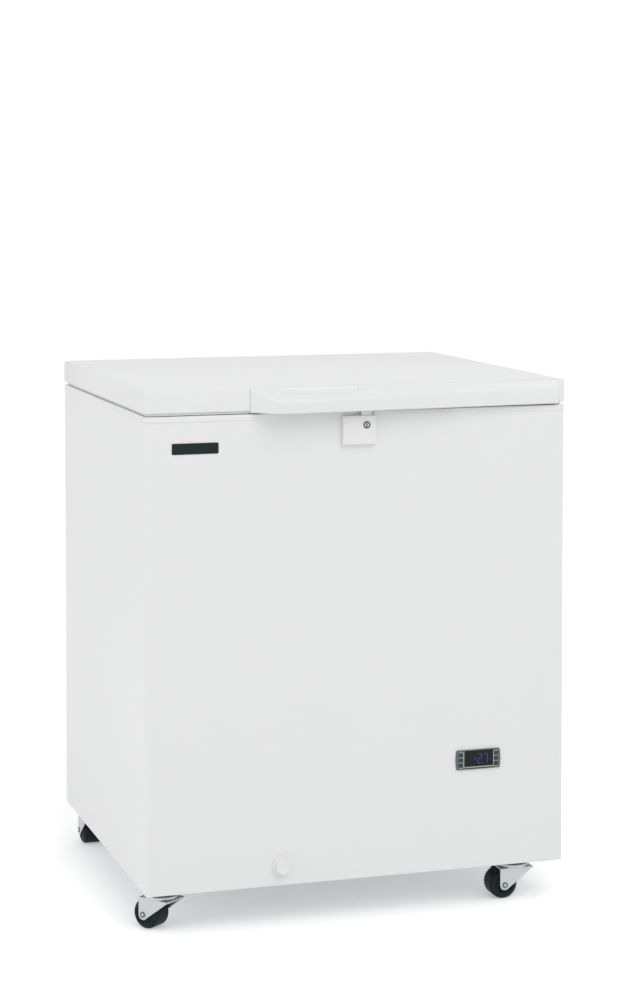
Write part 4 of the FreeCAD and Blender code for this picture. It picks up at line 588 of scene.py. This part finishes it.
# The pieces
def lid_cap(sizes):
    """A cap whose outline from the front is carried from back to front, with eased ends."""
    low, high = box_of("lid_skin")
    hem, side, ease = 0.6, sizes.lid_side_radius / MM, sizes.lid_front_radius / MM
    corners = [(low[0], low[2] + hem, 1.2), (high[0], low[2] + hem, 1.2),
               (high[0], high[2], side), (low[0], high[2], side)]
    part = eased_plate(corners, -high[1], -low[1], ease, back_ease=ease)
    front_piece("lid_cap", [part], "lid", "white_enamel", ["lid_skin"])


def trim_frame():
    """The trim's cross-section carried round the cabinet's top."""
    low, high = box_of("top_trim")
    tank_low, _ = box_of("inner_liner")
    wall = tank_low[0] + 1 - low[0]
    seat = high[2] - 3
    profile = ([(1.0, low[2]), (0.35, low[2])] + arc_points((0.6, low[2] + 0.6), 0.6, 225, 180, 3)
               + arc_points((1.6, high[2] - 1.6), 1.6, 180, 90)
               + arc_points((wall - 2.2, high[2] - 2.2), 2.2, 90, 0) + [(wall, seat), (1.0, seat)])
    part = swept_ring(profile, low[0], high[0], low[1], high[1], 3.6)
    make_piece("trim_frame", part, "cabinet", "white_plastic", ["top_trim"])


def lid_inner_moulding():
    """The lid's inner face: a border that falls in a rounded step to the plug, closed by the plug's flat."""
    low, high = box_of("lid_liner")
    tank_low, _ = box_of("inner_liner")
    foot = box_of("lid_skin")[0][2]
    plug = tank_low[0] + 1 + 14 - low[0]
    profile = ([(0.0, foot + 1.4), (0.0, foot + 0.3), (0.3, foot)]
               + arc_points((plug - 4, foot - 4), 4, 90, 0)
               + arc_points((plug + 6, low[2] + 6), 6, 180, 270)
               + [(plug + 26, low[2]), (plug + 30, low[2] + 1.2)])
    part = swept_ring(profile, low[0], high[0], low[1], high[1], 3.0, closed=False, cap=True)
    make_piece("lid_inner_moulding", part, "lid", "white_plastic", ["lid_liner"])


def gasket_ring():
    """A soft bellows seal: a bulged foot on the trim, a waist, and a flange under the lid."""
    low, high = box_of("lid_gasket")
    tall = high[2] - low[2]
    across = np.linspace(0, 1, 25)
    foot = low[2] + 0.28 * tall * (1 - np.clip(1.6 * np.sin(2 * math.pi * across) ** 2, 0, 1))
    wide = 24.0
    lower = [(wide * t, z) for t, z in zip(across, foot)]
    side = [(wide + 0.0, low[2] + tall * 0.5), (wide - 1.2, low[2] + tall * 0.75), (wide, high[2])]
    profile = lower + side + [(0.0, high[2]), (1.2, low[2] + tall * 0.75), (0.0, low[2] + tall * 0.5)]
    part = swept_ring(profile[::-1], low[0], high[0], low[1], high[1], 6.0)
    make_piece("gasket_ring", part, "lid", "grey_gasket", ["lid_gasket"])


def lid_handle_moulding(sizes):
    """Sections across the handle, each a line round (d, z) with d out from the lid's front and z up:
    d reaches reach(x), which grows along the slanted left end and then shrinks in two straight runs; the top is
    z = top - fall(x) d less the dish; the underside is bottom plus the hollow's height between its two ends."""
    low, high = box_of("lid_handle")
    lid_front = box_of("lid_skin")[0][1]
    start, end, bottom = low[0], high[0], low[2]
    top = box_of("lid_skin")[1][2] - 0.3
    deepest = lid_front - low[1]
    bevel, middle, middle_reach, end_reach = 37.0, 161.0, 22.0, 7.0
    slope = (deepest - middle_reach) / (middle - start - bevel)
    dish_left, dish_right = -141.0, -3.0
    hollow_left, hollow_right = -138.0, 160.0
    x = np.unique(np.round(np.concatenate([
        start + np.array([0, 0.25, 0.6, 1.2, 2.5]), np.linspace(start + 4, start + bevel - 1.5, 12),
        start + bevel + np.linspace(-1.5, 1.5, 7), np.linspace(dish_left - 3, dish_left + 10, 16),
        np.linspace(dish_right - 20, dish_right + 3, 24), hollow_left + np.linspace(-0.4, 3, 7),
        hollow_right - np.linspace(-0.4, 3, 7), np.linspace(-125, -25, 11), np.linspace(10, 150, 12),
        middle + np.array([-4, -1.5, 0, 1.5, 4]), np.linspace(175, end - 3, 14),
        end - 2.0 * (1 - np.cos(np.linspace(0, math.pi / 2, 6)))]), 3))[:, None]
    full = np.where(x < middle, deepest - slope * (x - start - bevel),
                    middle_reach + (end_reach - middle_reach) * (x - middle) / (end - middle))
    drop = np.where(x < middle, 22 + (14 - 22) * (x - start) / (middle - start),
                    14 - 1.5 * (x - middle) / (end - middle))
    fall = drop / full
    reach = np.minimum(full, 1.6 + (x - start) * (deepest - 1.6) / bevel)
    # The two runs at the slanted end and at the middle meet in a short curve
    soften = 2.5
    reach = reach - soften * np.exp(-np.abs(x - start - bevel) / soften) * 0.18
    end_inset = 2.0 - np.sqrt(np.maximum(0, 4.0 - np.clip(x - (end - 2.0), 0, 2) ** 2))
    reach = reach - end_inset
    foot = bottom + end_inset
    ceiling = top - end_inset
    edge = np.minimum(3.0, 0.35 * reach)
    brow = np.minimum(3.2, 0.35 * reach)
    hollow = 13.5 * smooth_step((x - hollow_left) / 2.5) * smooth_step((hollow_right - x) / 2.5)
    draft = 0.13 * reach
    wall = np.maximum(reach - draft - edge - 1.5, reach * 0.45)
    roof_round = np.minimum(4.0, wall * 0.4) * np.minimum(hollow / 13.5, 1)
    line = [(0 * x, foot + hollow), ((wall - roof_round) * 0.5, foot + hollow)]
    for a in np.linspace(0, math.pi / 2, 4):
        line.append((wall - roof_round + roof_round * math.sin(a),
                     foot + hollow - roof_round * (1 - math.cos(a))))
    line.append((wall + 0 * x, foot + np.minimum(hollow, 0.6)))
    line.append((wall + np.minimum(0.5, 0.1 * reach), foot + 0 * x))
    for a in np.linspace(-math.pi / 2, 0, 6):
        line.append((reach - draft - edge + edge * math.cos(a), foot + edge + edge * math.sin(a)))
    tilt = np.arctan(fall)
    brow_z = ceiling - fall * (reach - brow) - brow * np.sqrt(1 + fall ** 2)
    for share in np.linspace(0, 1, 6):
        a = share * (math.pi / 2 - tilt)
        line.append((reach - brow + brow * np.cos(a), brow_z + brow * np.sin(a)))
    shrink = np.minimum(1.0, (reach - brow + brow * np.sin(tilt)) / 30.0)
    for d in (28.0, 25.6, 24.8, 24.0, 23.2, 22.4, 16.0, 9.0, 4.6, 3.8, 3.0, 2.2, 1.4):
        d_here = d * shrink
        lean = (d - 3.0) * 0.55
        inside = (smooth_step((x - dish_left - lean * 0.15) / 2.0) * smooth_step((dish_right - lean - x) / 2.0)
                  * smooth_step((d - 2.2) / 2.4) * smooth_step((24.8 - d) / 2.4))
        dish = sizes.dish_depth / MM * (1 - 0.65 * (d - 3) / 21) * inside
        line.append((d_here, ceiling - fall * d_here - dish))
    line.append((0 * x, ceiling + 0 * x))
    grid = np.stack([np.concatenate([x + 0 * z, lid_front - d - 0 * z, z + 0 * x], 1) for d, z in line], 1)
    part = shell(grid, wrap=True, close_first=True, close_last=True)
    make_piece("lid_handle_moulding", part, "lid", "handle_plastic", ["lid_handle"], sharp=32)
    # A thin grey strip at the handle's left end is painted shadow of the seam between handle and lid front
    seam = eased_plate(rectangle(start - 0.6, start, bottom + 2.8, top - 2.5, 0.1), 0, 0.12, 0.05)
    front_piece("handle_seam_painted_shadow", [seam], "lid", "handle_plastic", finish=finish_for("painted_seam_shadow_grey"), out=-lid_front)


def lock_barrel_pieces():
    """A turned collar with its tail, round two half discs that leave the key slot free over a black floor, which
    paints the keyway's shade.
    """
    face = -box_of("lock_housing")[0][1]
    low, high = box_of("lock_barrel")
    centre = (low + high)[::2] / 2
    radius, inner = 6.2, 4.0
    proud = -low[1]
    tail = turned([(5.0, -high[1]), (5.0, face - 2.4)], steps=48)
    collar = turned([(inner, face - 2.5), (inner, proud - 0.5)]
                    + arc_points((inner + 0.5, proud - 0.5), 0.5, 180, 90, 4)
                    + arc_points((radius - 0.9, proud - 0.9), 0.9, 90, 0, 5)
                    + [(radius, face - 2.5)], loop=True)
    front_piece("barrel_collar", [tail, collar], "lock", "lock_metal", ["lock_barrel"], at=centre)
    halves = []
    for middle in (0, 180):
        arc = arc_points((0, 0), inner * 0.94, middle - 76, middle + 76, 9)
        halves.append(eased_plate([(a, b, 0.15) for a, b in arc], face - 2.2, proud - 0.3, 0.14))
    front_piece("barrel_plug", halves, "lock", "lock_metal", finish=finish_for("zinc_steel"), at=centre)
    # A black disc at the keyway's bottom paints the shade of its depth
    floor = turned([(inner, face - 2.4), (inner, face - 2.0)], steps=32)
    front_piece("keyway_painted_shade", [floor], "lock", "lock_metal", finish=finish_for("black_rubber"), at=centre)


def badge_piece():
    """A bare plate with an eased rim and a shallow raised border."""
    low, high = box_of("badge_plate")
    back, front = -high[1], -low[1]
    plate = eased_plate(rectangle(low[0], high[0], low[2], high[2], 2.2), back, front - 0.25, 0.5)
    field = eased_plate(rectangle(low[0] + 1.6, high[0] - 1.6, low[2] + 1.6, high[2] - 1.6, 1.4),
                        front - 0.4, front, 0.2)
    front_piece("badge_face", [plate, field], "cabinet", "black_badge", ["badge_plate"])


SEGMENTS = {
    "-": "g", "0": "abcdef", "1": "bc", "2": "abged", "3": "abgcd", "4": "fgbc", "5": "afgcd", "6": "afgedc",
    "7": "abc", "8": "abcdefg", "9": "abcdfg",
}


def digit_parts(character, left, low, wide, tall, thick, slant):
    """One seven-segment character: each lit segment is a six-cornered bar, leaned by x + slant z."""
    made = []
    spots = {"a": (0.5, 1, 0), "g": (0.5, 0.5, 0), "d": (0.5, 0, 0), "b": (1, 0.75, 1), "c": (1, 0.25, 1),
             "f": (0, 0.75, 1), "e": (0, 0.25, 1)}
    for name in SEGMENTS[character]:
        across, up, upright = spots[name]
        length = (tall / 2 if upright else wide) - thick * 0.35
        half, nib = length / 2, thick / 2
        ring = [(-half, 0), (-half + nib, -nib), (half - nib, -nib),
                (half, 0), (half - nib, nib), (-half + nib, nib)]
        if upright:
            ring = [(-b, a) for a, b in ring]
        centre = (left + across * wide, low + up * tall)
        corners = [(centre[0] + a + slant * (centre[1] + b - low), centre[1] + b, 0.12) for a, b in ring]
        made.append(eased_plate(corners, 0, 0.14, 0.05, steps=2))
    return made


def controller_pieces(sizes, colours):
    """Bezel with bulged ends, a smoked window up to its top, a two-toned sill, six keys between pale lines, and
    lit seven-segment digits."""
    low, high = box_of("controller_bezel")
    face = -low[1]
    window_low, window_high = box_of("controller_window")
    left, right = window_low[0] - 0.2, window_high[0] + 0.2
    middle = (low[2] + high[2]) / 2
    bulge = 1.0
    ring = [(low[0] + bulge, low[2], 2.6), (high[0] - bulge, low[2], 2.6), (high[0] + 0.4, middle, 90.0),
            (high[0] - bulge, high[2], 2.6), (low[0] + bulge, high[2], 2.6), (low[0] - 0.4, middle, 90.0)]
    front_piece("bezel_frame", [eased_plate(ring, -high[1], face - 0.45, 1.3)], "cabinet", "grey_plastic",
                ["controller_bezel"])
    front_piece("smoked_window", [eased_plate(rectangle(left, right, window_low[2] - 0.3, high[2] - 0.9, 0.5),
                                              face - 0.7, face - 0.15, 0.3)],
                "cabinet", "dark_window", ["controller_window"])
    front_piece("sill_shade", [eased_plate(rectangle(left, right, low[2] + 0.9, low[2] + 2.7, 0.3),
                                           face - 0.7, face - 0.3, 0.2)], "cabinet", "key_plastic")
    lines = [rectangle(left - 0.4, right + 0.4, low[2] + 3.1, window_low[2] - 0.7, 0.3)]
    for index in range(1, 7):
        (x_low, y_low, z_low), (x_high, y_high, z_high) = box_of(f"key_{index}")
        key_face = -y_low
        pad = eased_plate(rectangle(x_low + 0.6, x_high - 0.6, z_low + 0.5, z_high - 0.5, 0.8),
                          -y_high, key_face - 0.12, 0.45)
        across, up = (x_low + x_high) / 2, (z_low + z_high) / 2
        arrow = eased_plate([(across + a, up + b, 0.1) for a, b in ((-1.5, -0.9), (1.5, -0.9), (0, 1.2))],
                            key_face - 0.4, key_face, 0.08)
        front_piece(f"key_pad_{index}", [pad, arrow], f"key_{index}", "key_plastic", [f"key_{index}"])
        lines.append(rectangle(x_low + 0.4, x_high - 0.2, z_low - 0.75, z_low + 0.2, 0.1))
        if index in (1, 4):
            lines.append(rectangle(x_low + 0.4, x_high - 0.2, z_high - 0.1, z_high + 0.7, 0.1))
            lowest = box_of(f"key_{index + 2}")[0][2] - 0.6
            edge = x_high + 0.15 if index == 1 else x_low - 1.25
            lines.append(rectangle(edge, edge + 1.1, lowest, z_high + 0.8, 0.2))
    front_piece("pale_lines", [eased_plate(line, face - 0.8, face - 0.12, 0.15) for line in lines],
                "cabinet", "grey_plastic", finish=finish_for("pale_print"))
    tall = sizes.digit_height / MM
    base = middle - tall / 2 + 1.3
    tens, units = divmod(sizes.reading, 10)
    lit = []
    for character, start, wide in (("-", 198.4, 4.4), (str(tens), 205.4, 6.2), (str(units), 215.9, 6.2)):
        lit += digit_parts(character, start, base, wide, tall, 1.5, math.tan(sizes.digit_slant))
    front_piece("display_digits", lit, "cabinet", "dark_window",
                finish=glowing_finish("lit_digits", colours.digits, 1.0), out=face - 0.15)
    dot = turned([(0.7, 0), (0.7, 0.1), (0.5, 0.15)], steps=20)
    front_piece("status_dot", [dot], "cabinet", "dark_window",
                finish=glowing_finish("olive_dot", (0.05, 0.06, 0.01), 1.0), at=(213.8, base), out=face - 0.15)


def drain_cap_piece(sizes):
    """A turned cap whose knob's radius is less by a rounded scallop where cos(n angle) is high."""
    low, high = box_of("drain_cap")
    centre = (low + high)[::2] / 2
    flange = (high[0] - low[0]) / 2
    face = -low[1]
    seat = face - 13.0
    knob = 13.0
    count = sizes.cap_scallops

    def scalloped(radii, heights, angles):
        on_knob = smooth_step((heights - seat - 3.0) / 1.2) * smooth_step(radii / knob * 1.6 - 0.5)
        return radii * (1 - 0.16 * on_knob * np.clip(np.cos(count * angles), 0, 1) ** 1.5 * bool(count))

    profile = ([(7.0, seat - 22), (7.9, seat - 20), (7.9, seat), (flange, seat), (flange, seat + 1.6)]
               + arc_points((flange - 1.4, seat + 1.6), 1.4, 0, 90)
               + [(knob + 1.6, seat + 3.0)] + arc_points((knob + 1.0, seat + 4.0), 1.0, 270, 180, 4)
               + [(knob, seat + 7), (knob, face - 2.6)] + arc_points((knob - 2.6, face - 2.6), 2.6, 0, 90, 6)
               + [(knob - 4.6, face), (knob - 6.0, face - 0.7), (2.0, face - 0.7)])
    part = turned(profile, steps=96, radius_at=scalloped)
    front_piece("drain_cap_knob", [part], "drain_cap", "white_plastic", ["drain_cap"], at=centre)


# The casters' shared measures: the swivel's pin, the fork's legs beside the wheel, and its race
KINGPIN = 4.8
LEG_INNER, LEG_OUTER = 20.2, 22.7
RACE_TALL = 5.6


def roller(radius, edge):
    """A wheel: a profile with a recessed disc and a softened slant at its edge, turned about the axle."""
    half = 19.0
    soft = 0.8 * edge
    turn_in = edge + soft * math.tan(math.pi / 8)
    side = ([(3.95, half - 1.2), (6.4, half - 1.0), (7.0, half - 0.1), (8.6, half), (9.4, half - 0.6),
             (10.2, half - 2.6), (13.0, half - 2.9), (15.4, half - 1.0), (16.2, half - 0.15)]
            + arc_points((radius - turn_in, half - soft), soft, 90, 45)
            + arc_points((radius - soft, half - turn_in), soft, 45, 0))
    return turned(side + [(r, -w) for r, w in side[::-1]], steps=80, loop=True)


def stamped_fork(radius, trail, shoulder, sideways, flat, foot):
    """Two eased leg plates whose ends are round about the axle, a web with a bore, and a turned race."""
    tip, nose, reach, sheet = 8.7, 1.5, 29.5, LEG_OUTER - LEG_INNER
    behind = -trail - tip
    leg = [(behind, radius - tip, 0.97 * tip), (0.33 * tip - trail, radius - tip, 0.97 * tip),
           (reach, shoulder - nose, 0.3), (reach, shoulder, 0.3), (behind, shoulder, 2.4)]
    edge = LEG_OUTER - 0.3
    web = [(behind + 0.5, -edge, 2.0), (reach, -edge, 0.8), (reach, edge, 0.8), (behind + 0.5, edge, 2.0)]
    parts = [placed(eased_plate(leg, near, near + sheet, 0.6, back_ease=0.6), sideways, foot)
             for near in (LEG_INNER, -LEG_OUTER)]
    parts.append(placed(holed_plate(web, KINGPIN, shoulder - sheet, shoulder, 0.6), flat, foot))
    race = turned([(KINGPIN, shoulder - 0.4), (24.0, shoulder - 0.4)]
                  + arc_points((26.0, shoulder + 2.2), 2.0, 270, 360)
                  + arc_points((26.6, shoulder + 4.2), 1.4, 0, 90)
                  + [(KINGPIN, shoulder + RACE_TALL)], steps=80, loop=True)
    return join(*parts, placed(race, flat, foot))


def axle_rod():
    """A rod turned about the axle, with a domed end past each leg."""
    side = [(2.6, LEG_OUTER + 0.9), (3.0, LEG_OUTER + 0.3)]
    rod = turned(side + [(r, -w) for r, w in side[::-1]], steps=40)
    dome = turned(arc_points((0.1, LEG_OUTER + 0.3), 2.1, 0, 88, 6)
                  + [(0.1, LEG_OUTER - 1.0), (2.1, LEG_OUTER - 1.0)], steps=40, loop=True)
    return join(rod, dome, mirrored(dome))


def axle_rims():
    """The rolled rim of the hollow rivet on each leg."""
    rim = turned([(3.1, LEG_OUTER - 0.1), (4.9, LEG_OUTER - 0.1)]
                 + arc_points((4.1, LEG_OUTER + 0.6), 0.8, 0, 100, 6)
                 + [(3.1, LEG_OUTER + 0.7)], steps=48, loop=True)
    return join(rim, mirrored(rim))


def caster_pieces(sizes):
    """The four casters, each laid from its wheel's axle towards its swivel, as the frame's joints give them."""
    for corner in CORNERS:
        swivel = np.array(JOINTS[f"swivel_{corner}"]["pos_m"]) / MM
        axle = np.array(JOINTS[f"roll_{corner}"]["pos_m"]) / MM
        ahead = swivel[:2] - axle[:2]
        trail = np.linalg.norm(ahead)
        ahead = np.array([*(ahead / trail), 0.0])
        up = np.array([0.0, 0.0, 1.0])
        sideways = np.array([ahead, up, np.cross(ahead, up)])
        flat = np.array([ahead, np.cross(up, ahead), up])
        foot = (*swivel[:2], 0)
        radius = axle[2]
        shoulder = box_of(f"caster_fork_{corner}")[1][2] - RACE_TALL
        fork = f"fork_{corner}"
        wheel = placed(roller(radius, sizes.wheel_edge / MM), sideways, axle)
        make_piece(f"roller_{corner}", wheel, f"wheel_{corner}", "wheel_black", [f"caster_wheel_{corner}"])
        make_piece(f"stamped_fork_{corner}", stamped_fork(radius, trail, shoulder, sideways, flat, foot), fork,
                   "zinc_steel", [f"caster_fork_{corner}"])
        make_piece(f"axle_rod_{corner}", placed(axle_rod(), sideways, axle), fork, "zinc_steel",
                   [f"caster_axle_{corner}"])
        make_piece(f"axle_rims_{corner}", placed(axle_rims(), sideways, axle), fork, "zinc_steel",
                   finish=finish_for("lock_metal"))


def finish_nodes():
    """Every CAD node that stays gets its slot's procedural material, but the strike is painted white."""
    for subpart in frame["record"]["subparts"]:
        carried = frame["nodes"][subpart["node"]]
        if not carried.hide_render:
            carried.data.materials.clear()
            painted = subpart["node"] == "lock_strike"
            carried.data.materials.append(finish_for("white_enamel" if painted else subpart["material_slot"]))


# Camera, floor and light
def background_rays(tree):
    """1 for the rays that should see the plain white background: the camera's, and those in metal and glass."""
    rays = node(tree, "ShaderNodeLightPath")
    seen = math_node(tree, "MAXIMUM", rays.outputs["Is Camera Ray"], rays.outputs["Is Glossy Ray"])
    return math_node(tree, "MAXIMUM", seen, rays.outputs["Is Transmission Ray"])


def build_camera():
    """The photograph's viewing angle: yaw and pitch in radians, focal length in the picture's own pixels."""
    yaw, pitch, focal_pixels, picture_tall = 0.30576, 0.04199, 2422.98, 1000
    camera = bpy.data.objects.new("camera", bpy.data.cameras.new("camera"))
    bpy.context.scene.collection.objects.link(camera)
    camera.location = Vector((-1258.70, -4022.84, 1231.67)) * MM
    camera.rotation_euler = (math.pi / 2 - pitch, 0.0, -yaw)
    camera.data.sensor_width = 36.0
    camera.data.lens = camera.data.sensor_width * focal_pixels / picture_tall
    camera.data.shift_y = -0.23
    camera.data.clip_end = 100.0
    bpy.context.scene.camera = camera


def build_floor(light):
    """A pale floor that keeps the object's shadow, shows as white elsewhere, and is clear from below."""
    material = bpy.data.materials.new("pale_floor")
    material.use_nodes = True
    tree = material.node_tree
    link = tree.links.new
    shader = tree.nodes["Principled BSDF"]
    shader.inputs["Roughness"].default_value = 0.9
    shader.inputs["Specular IOR Level"].default_value = 0.0
    shader.inputs["Base Color"].default_value = (FLOOR_SHADE, FLOOR_SHADE, FLOOR_SHADE, 1)
    lift = node(tree, "ShaderNodeEmission")
    missing = math_node(tree, "MULTIPLY", background_rays(tree), 1.0 - FLOOR_SHADE * light.sky)
    link(missing, lift.inputs["Strength"])
    both = node(tree, "ShaderNodeAddShader")
    link(shader.outputs[0], both.inputs[0])
    link(lift.outputs[0], both.inputs[1])
    from_below = node(tree, "ShaderNodeMixShader")
    link(node(tree, "ShaderNodeNewGeometry").outputs["Backfacing"], from_below.inputs[0])
    link(both.outputs[0], from_below.inputs[1])
    link(node(tree, "ShaderNodeBsdfTransparent").outputs[0], from_below.inputs[2])
    link(from_below.outputs[0], tree.nodes["Material Output"].inputs["Surface"])
    mesh = bpy.data.meshes.new("floor")
    size = 60.0
    corners = [(-size, -size, 0), (size, -size, 0), (size, size, 0), (-size, size, 0)]
    mesh.from_pydata(corners, [], [(0, 1, 2, 3)])
    mesh.materials.append(material)
    floor = bpy.data.objects.new("floor", mesh)
    bpy.context.scene.collection.objects.link(floor)


def build_sky(light):
    """An even sky at the light's level, and plain white to the rays that see the background."""
    world = bpy.data.worlds.new("sky")
    bpy.context.scene.world = world
    world.use_nodes = True
    tree = world.node_tree
    background = tree.nodes["Background"]
    background.inputs["Color"].default_value = (1, 1, 1, 1)
    lifted = math_node(tree, "MULTIPLY", background_rays(tree), 1.0 - light.sky)
    tree.links.new(math_node(tree, "ADD", lifted, light.sky), background.inputs["Strength"])


def build_lamps(light):
    """Two soft round lamps, placed in metres and aimed at the middle of the cabinet."""
    target = Vector((0, 0, 0.5))
    for name, place, size, power in (("key_light", Vector((0.6, -3.2, 3.6)), 3.6, light.key),
                                     ("side_light", Vector((-4.0, -0.6, 1.8)), 2.4, light.side)):
        data = bpy.data.lights.new(name, "AREA")
        data.shape, data.size, data.energy = "DISK", size, power
        lamp = bpy.data.objects.new(name, data)
        bpy.context.scene.collection.objects.link(lamp)
        lamp.location = place
        lamp.rotation_euler = (target - place).to_track_quat("-Z", "Y").to_euler()


# The add-on
class FREEZER_OT_stage(bpy.types.Operator):
    """Makes the camera, the pale floor and the light"""
    bl_idname = "freezer.stage"
    bl_label = "Stage"

    def execute(self, context):
        light = context.scene.freezer_light
        build_camera()
        build_floor(light)
        build_sky(light)
        build_lamps(light)
        context.scene.view_settings.view_transform = "Standard"
        return {"FINISHED"}


class FREEZER_OT_lid_cap(bpy.types.Operator):
    """Makes the lid's rounded steel cap"""
    bl_idname = "freezer.lid_cap"
    bl_label = "Lid cap"

    def execute(self, context):
        lid_cap(context.scene.freezer_sizes)
        return {"FINISHED"}


class FREEZER_OT_lid_handle(bpy.types.Operator):
    """Makes the tapering moulded handle"""
    bl_idname = "freezer.lid_handle"
    bl_label = "Lid handle"

    def execute(self, context):
        lid_handle_moulding(context.scene.freezer_sizes)
        return {"FINISHED"}


class FREEZER_OT_lid_inside(bpy.types.Operator):
    """Makes the lid's inner moulding and its seal"""
    bl_idname = "freezer.lid_inside"
    bl_label = "Lid inside"

    def execute(self, context):
        lid_inner_moulding()
        gasket_ring()
        return {"FINISHED"}


class FREEZER_OT_trim(bpy.types.Operator):
    """Makes the frame round the cabinet's top"""
    bl_idname = "freezer.trim"
    bl_label = "Trim"

    def execute(self, context):
        trim_frame()
        return {"FINISHED"}


class FREEZER_OT_lock(bpy.types.Operator):
    """Makes the lock's barrel"""
    bl_idname = "freezer.lock"
    bl_label = "Lock"

    def execute(self, context):
        lock_barrel_pieces()
        return {"FINISHED"}


class FREEZER_OT_badge(bpy.types.Operator):
    """Makes the bare name plate"""
    bl_idname = "freezer.badge"
    bl_label = "Name plate"

    def execute(self, context):
        badge_piece()
        return {"FINISHED"}


class FREEZER_OT_controller(bpy.types.Operator):
    """Makes the controller with its keys and digits"""
    bl_idname = "freezer.controller"
    bl_label = "Controller"

    def execute(self, context):
        controller_pieces(context.scene.freezer_sizes, context.scene.freezer_colours)
        return {"FINISHED"}


class FREEZER_OT_drain_cap(bpy.types.Operator):
    """Makes the scalloped drain cap"""
    bl_idname = "freezer.drain_cap"
    bl_label = "Drain cap"

    def execute(self, context):
        drain_cap_piece(context.scene.freezer_sizes)
        return {"FINISHED"}


class FREEZER_OT_casters(bpy.types.Operator):
    """Makes the four casters' wheels, forks and axles"""
    bl_idname = "freezer.casters"
    bl_label = "Casters"

    def execute(self, context):
        caster_pieces(context.scene.freezer_sizes)
        return {"FINISHED"}


class FREEZER_OT_finishes(bpy.types.Operator):
    """Gives the other CAD parts their finishes"""
    bl_idname = "freezer.finishes"
    bl_label = "Finishes"

    def execute(self, context):
        finish_nodes()
        return {"FINISHED"}


OPERATORS = [FREEZER_OT_stage, FREEZER_OT_lid_cap, FREEZER_OT_lid_handle, FREEZER_OT_lid_inside,
             FREEZER_OT_trim, FREEZER_OT_lock, FREEZER_OT_badge, FREEZER_OT_controller,
             FREEZER_OT_drain_cap, FREEZER_OT_casters, FREEZER_OT_finishes]


class FREEZER_PT_panel(bpy.types.Panel):
    bl_label = "Freezer"
    bl_space_type = "VIEW_3D"
    bl_region_type = "UI"
    bl_category = "Freezer"

    def draw(self, context):
        for made in OPERATORS:
            self.layout.operator(made.bl_idname)
        scene = context.scene
        for group in (scene.freezer_sizes, scene.freezer_colours, scene.freezer_light):
            for name in group.bl_rna.properties.keys():
                if name not in ("rna_type", "name"):
                    self.layout.prop(group, name)


CLASSES = [FreezerSizes, FreezerColours, FreezerLight, *OPERATORS, FREEZER_PT_panel]


def register():
    for made in CLASSES:
        bpy.utils.register_class(made)
    bpy.types.Scene.freezer_sizes = PointerProperty(type=FreezerSizes)
    bpy.types.Scene.freezer_colours = PointerProperty(type=FreezerColours)
    bpy.types.Scene.freezer_light = PointerProperty(type=FreezerLight)


def unregister():
    del bpy.types.Scene.freezer_light
    del bpy.types.Scene.freezer_colours
    del bpy.types.Scene.freezer_sizes
    for made in reversed(CLASSES):
        bpy.utils.unregister_class(made)


def main():
    register()
    for made in OPERATORS:
        getattr(bpy.ops.freezer, made.bl_idname.split(".")[1])()


if __name__ == "__main__":
    main()
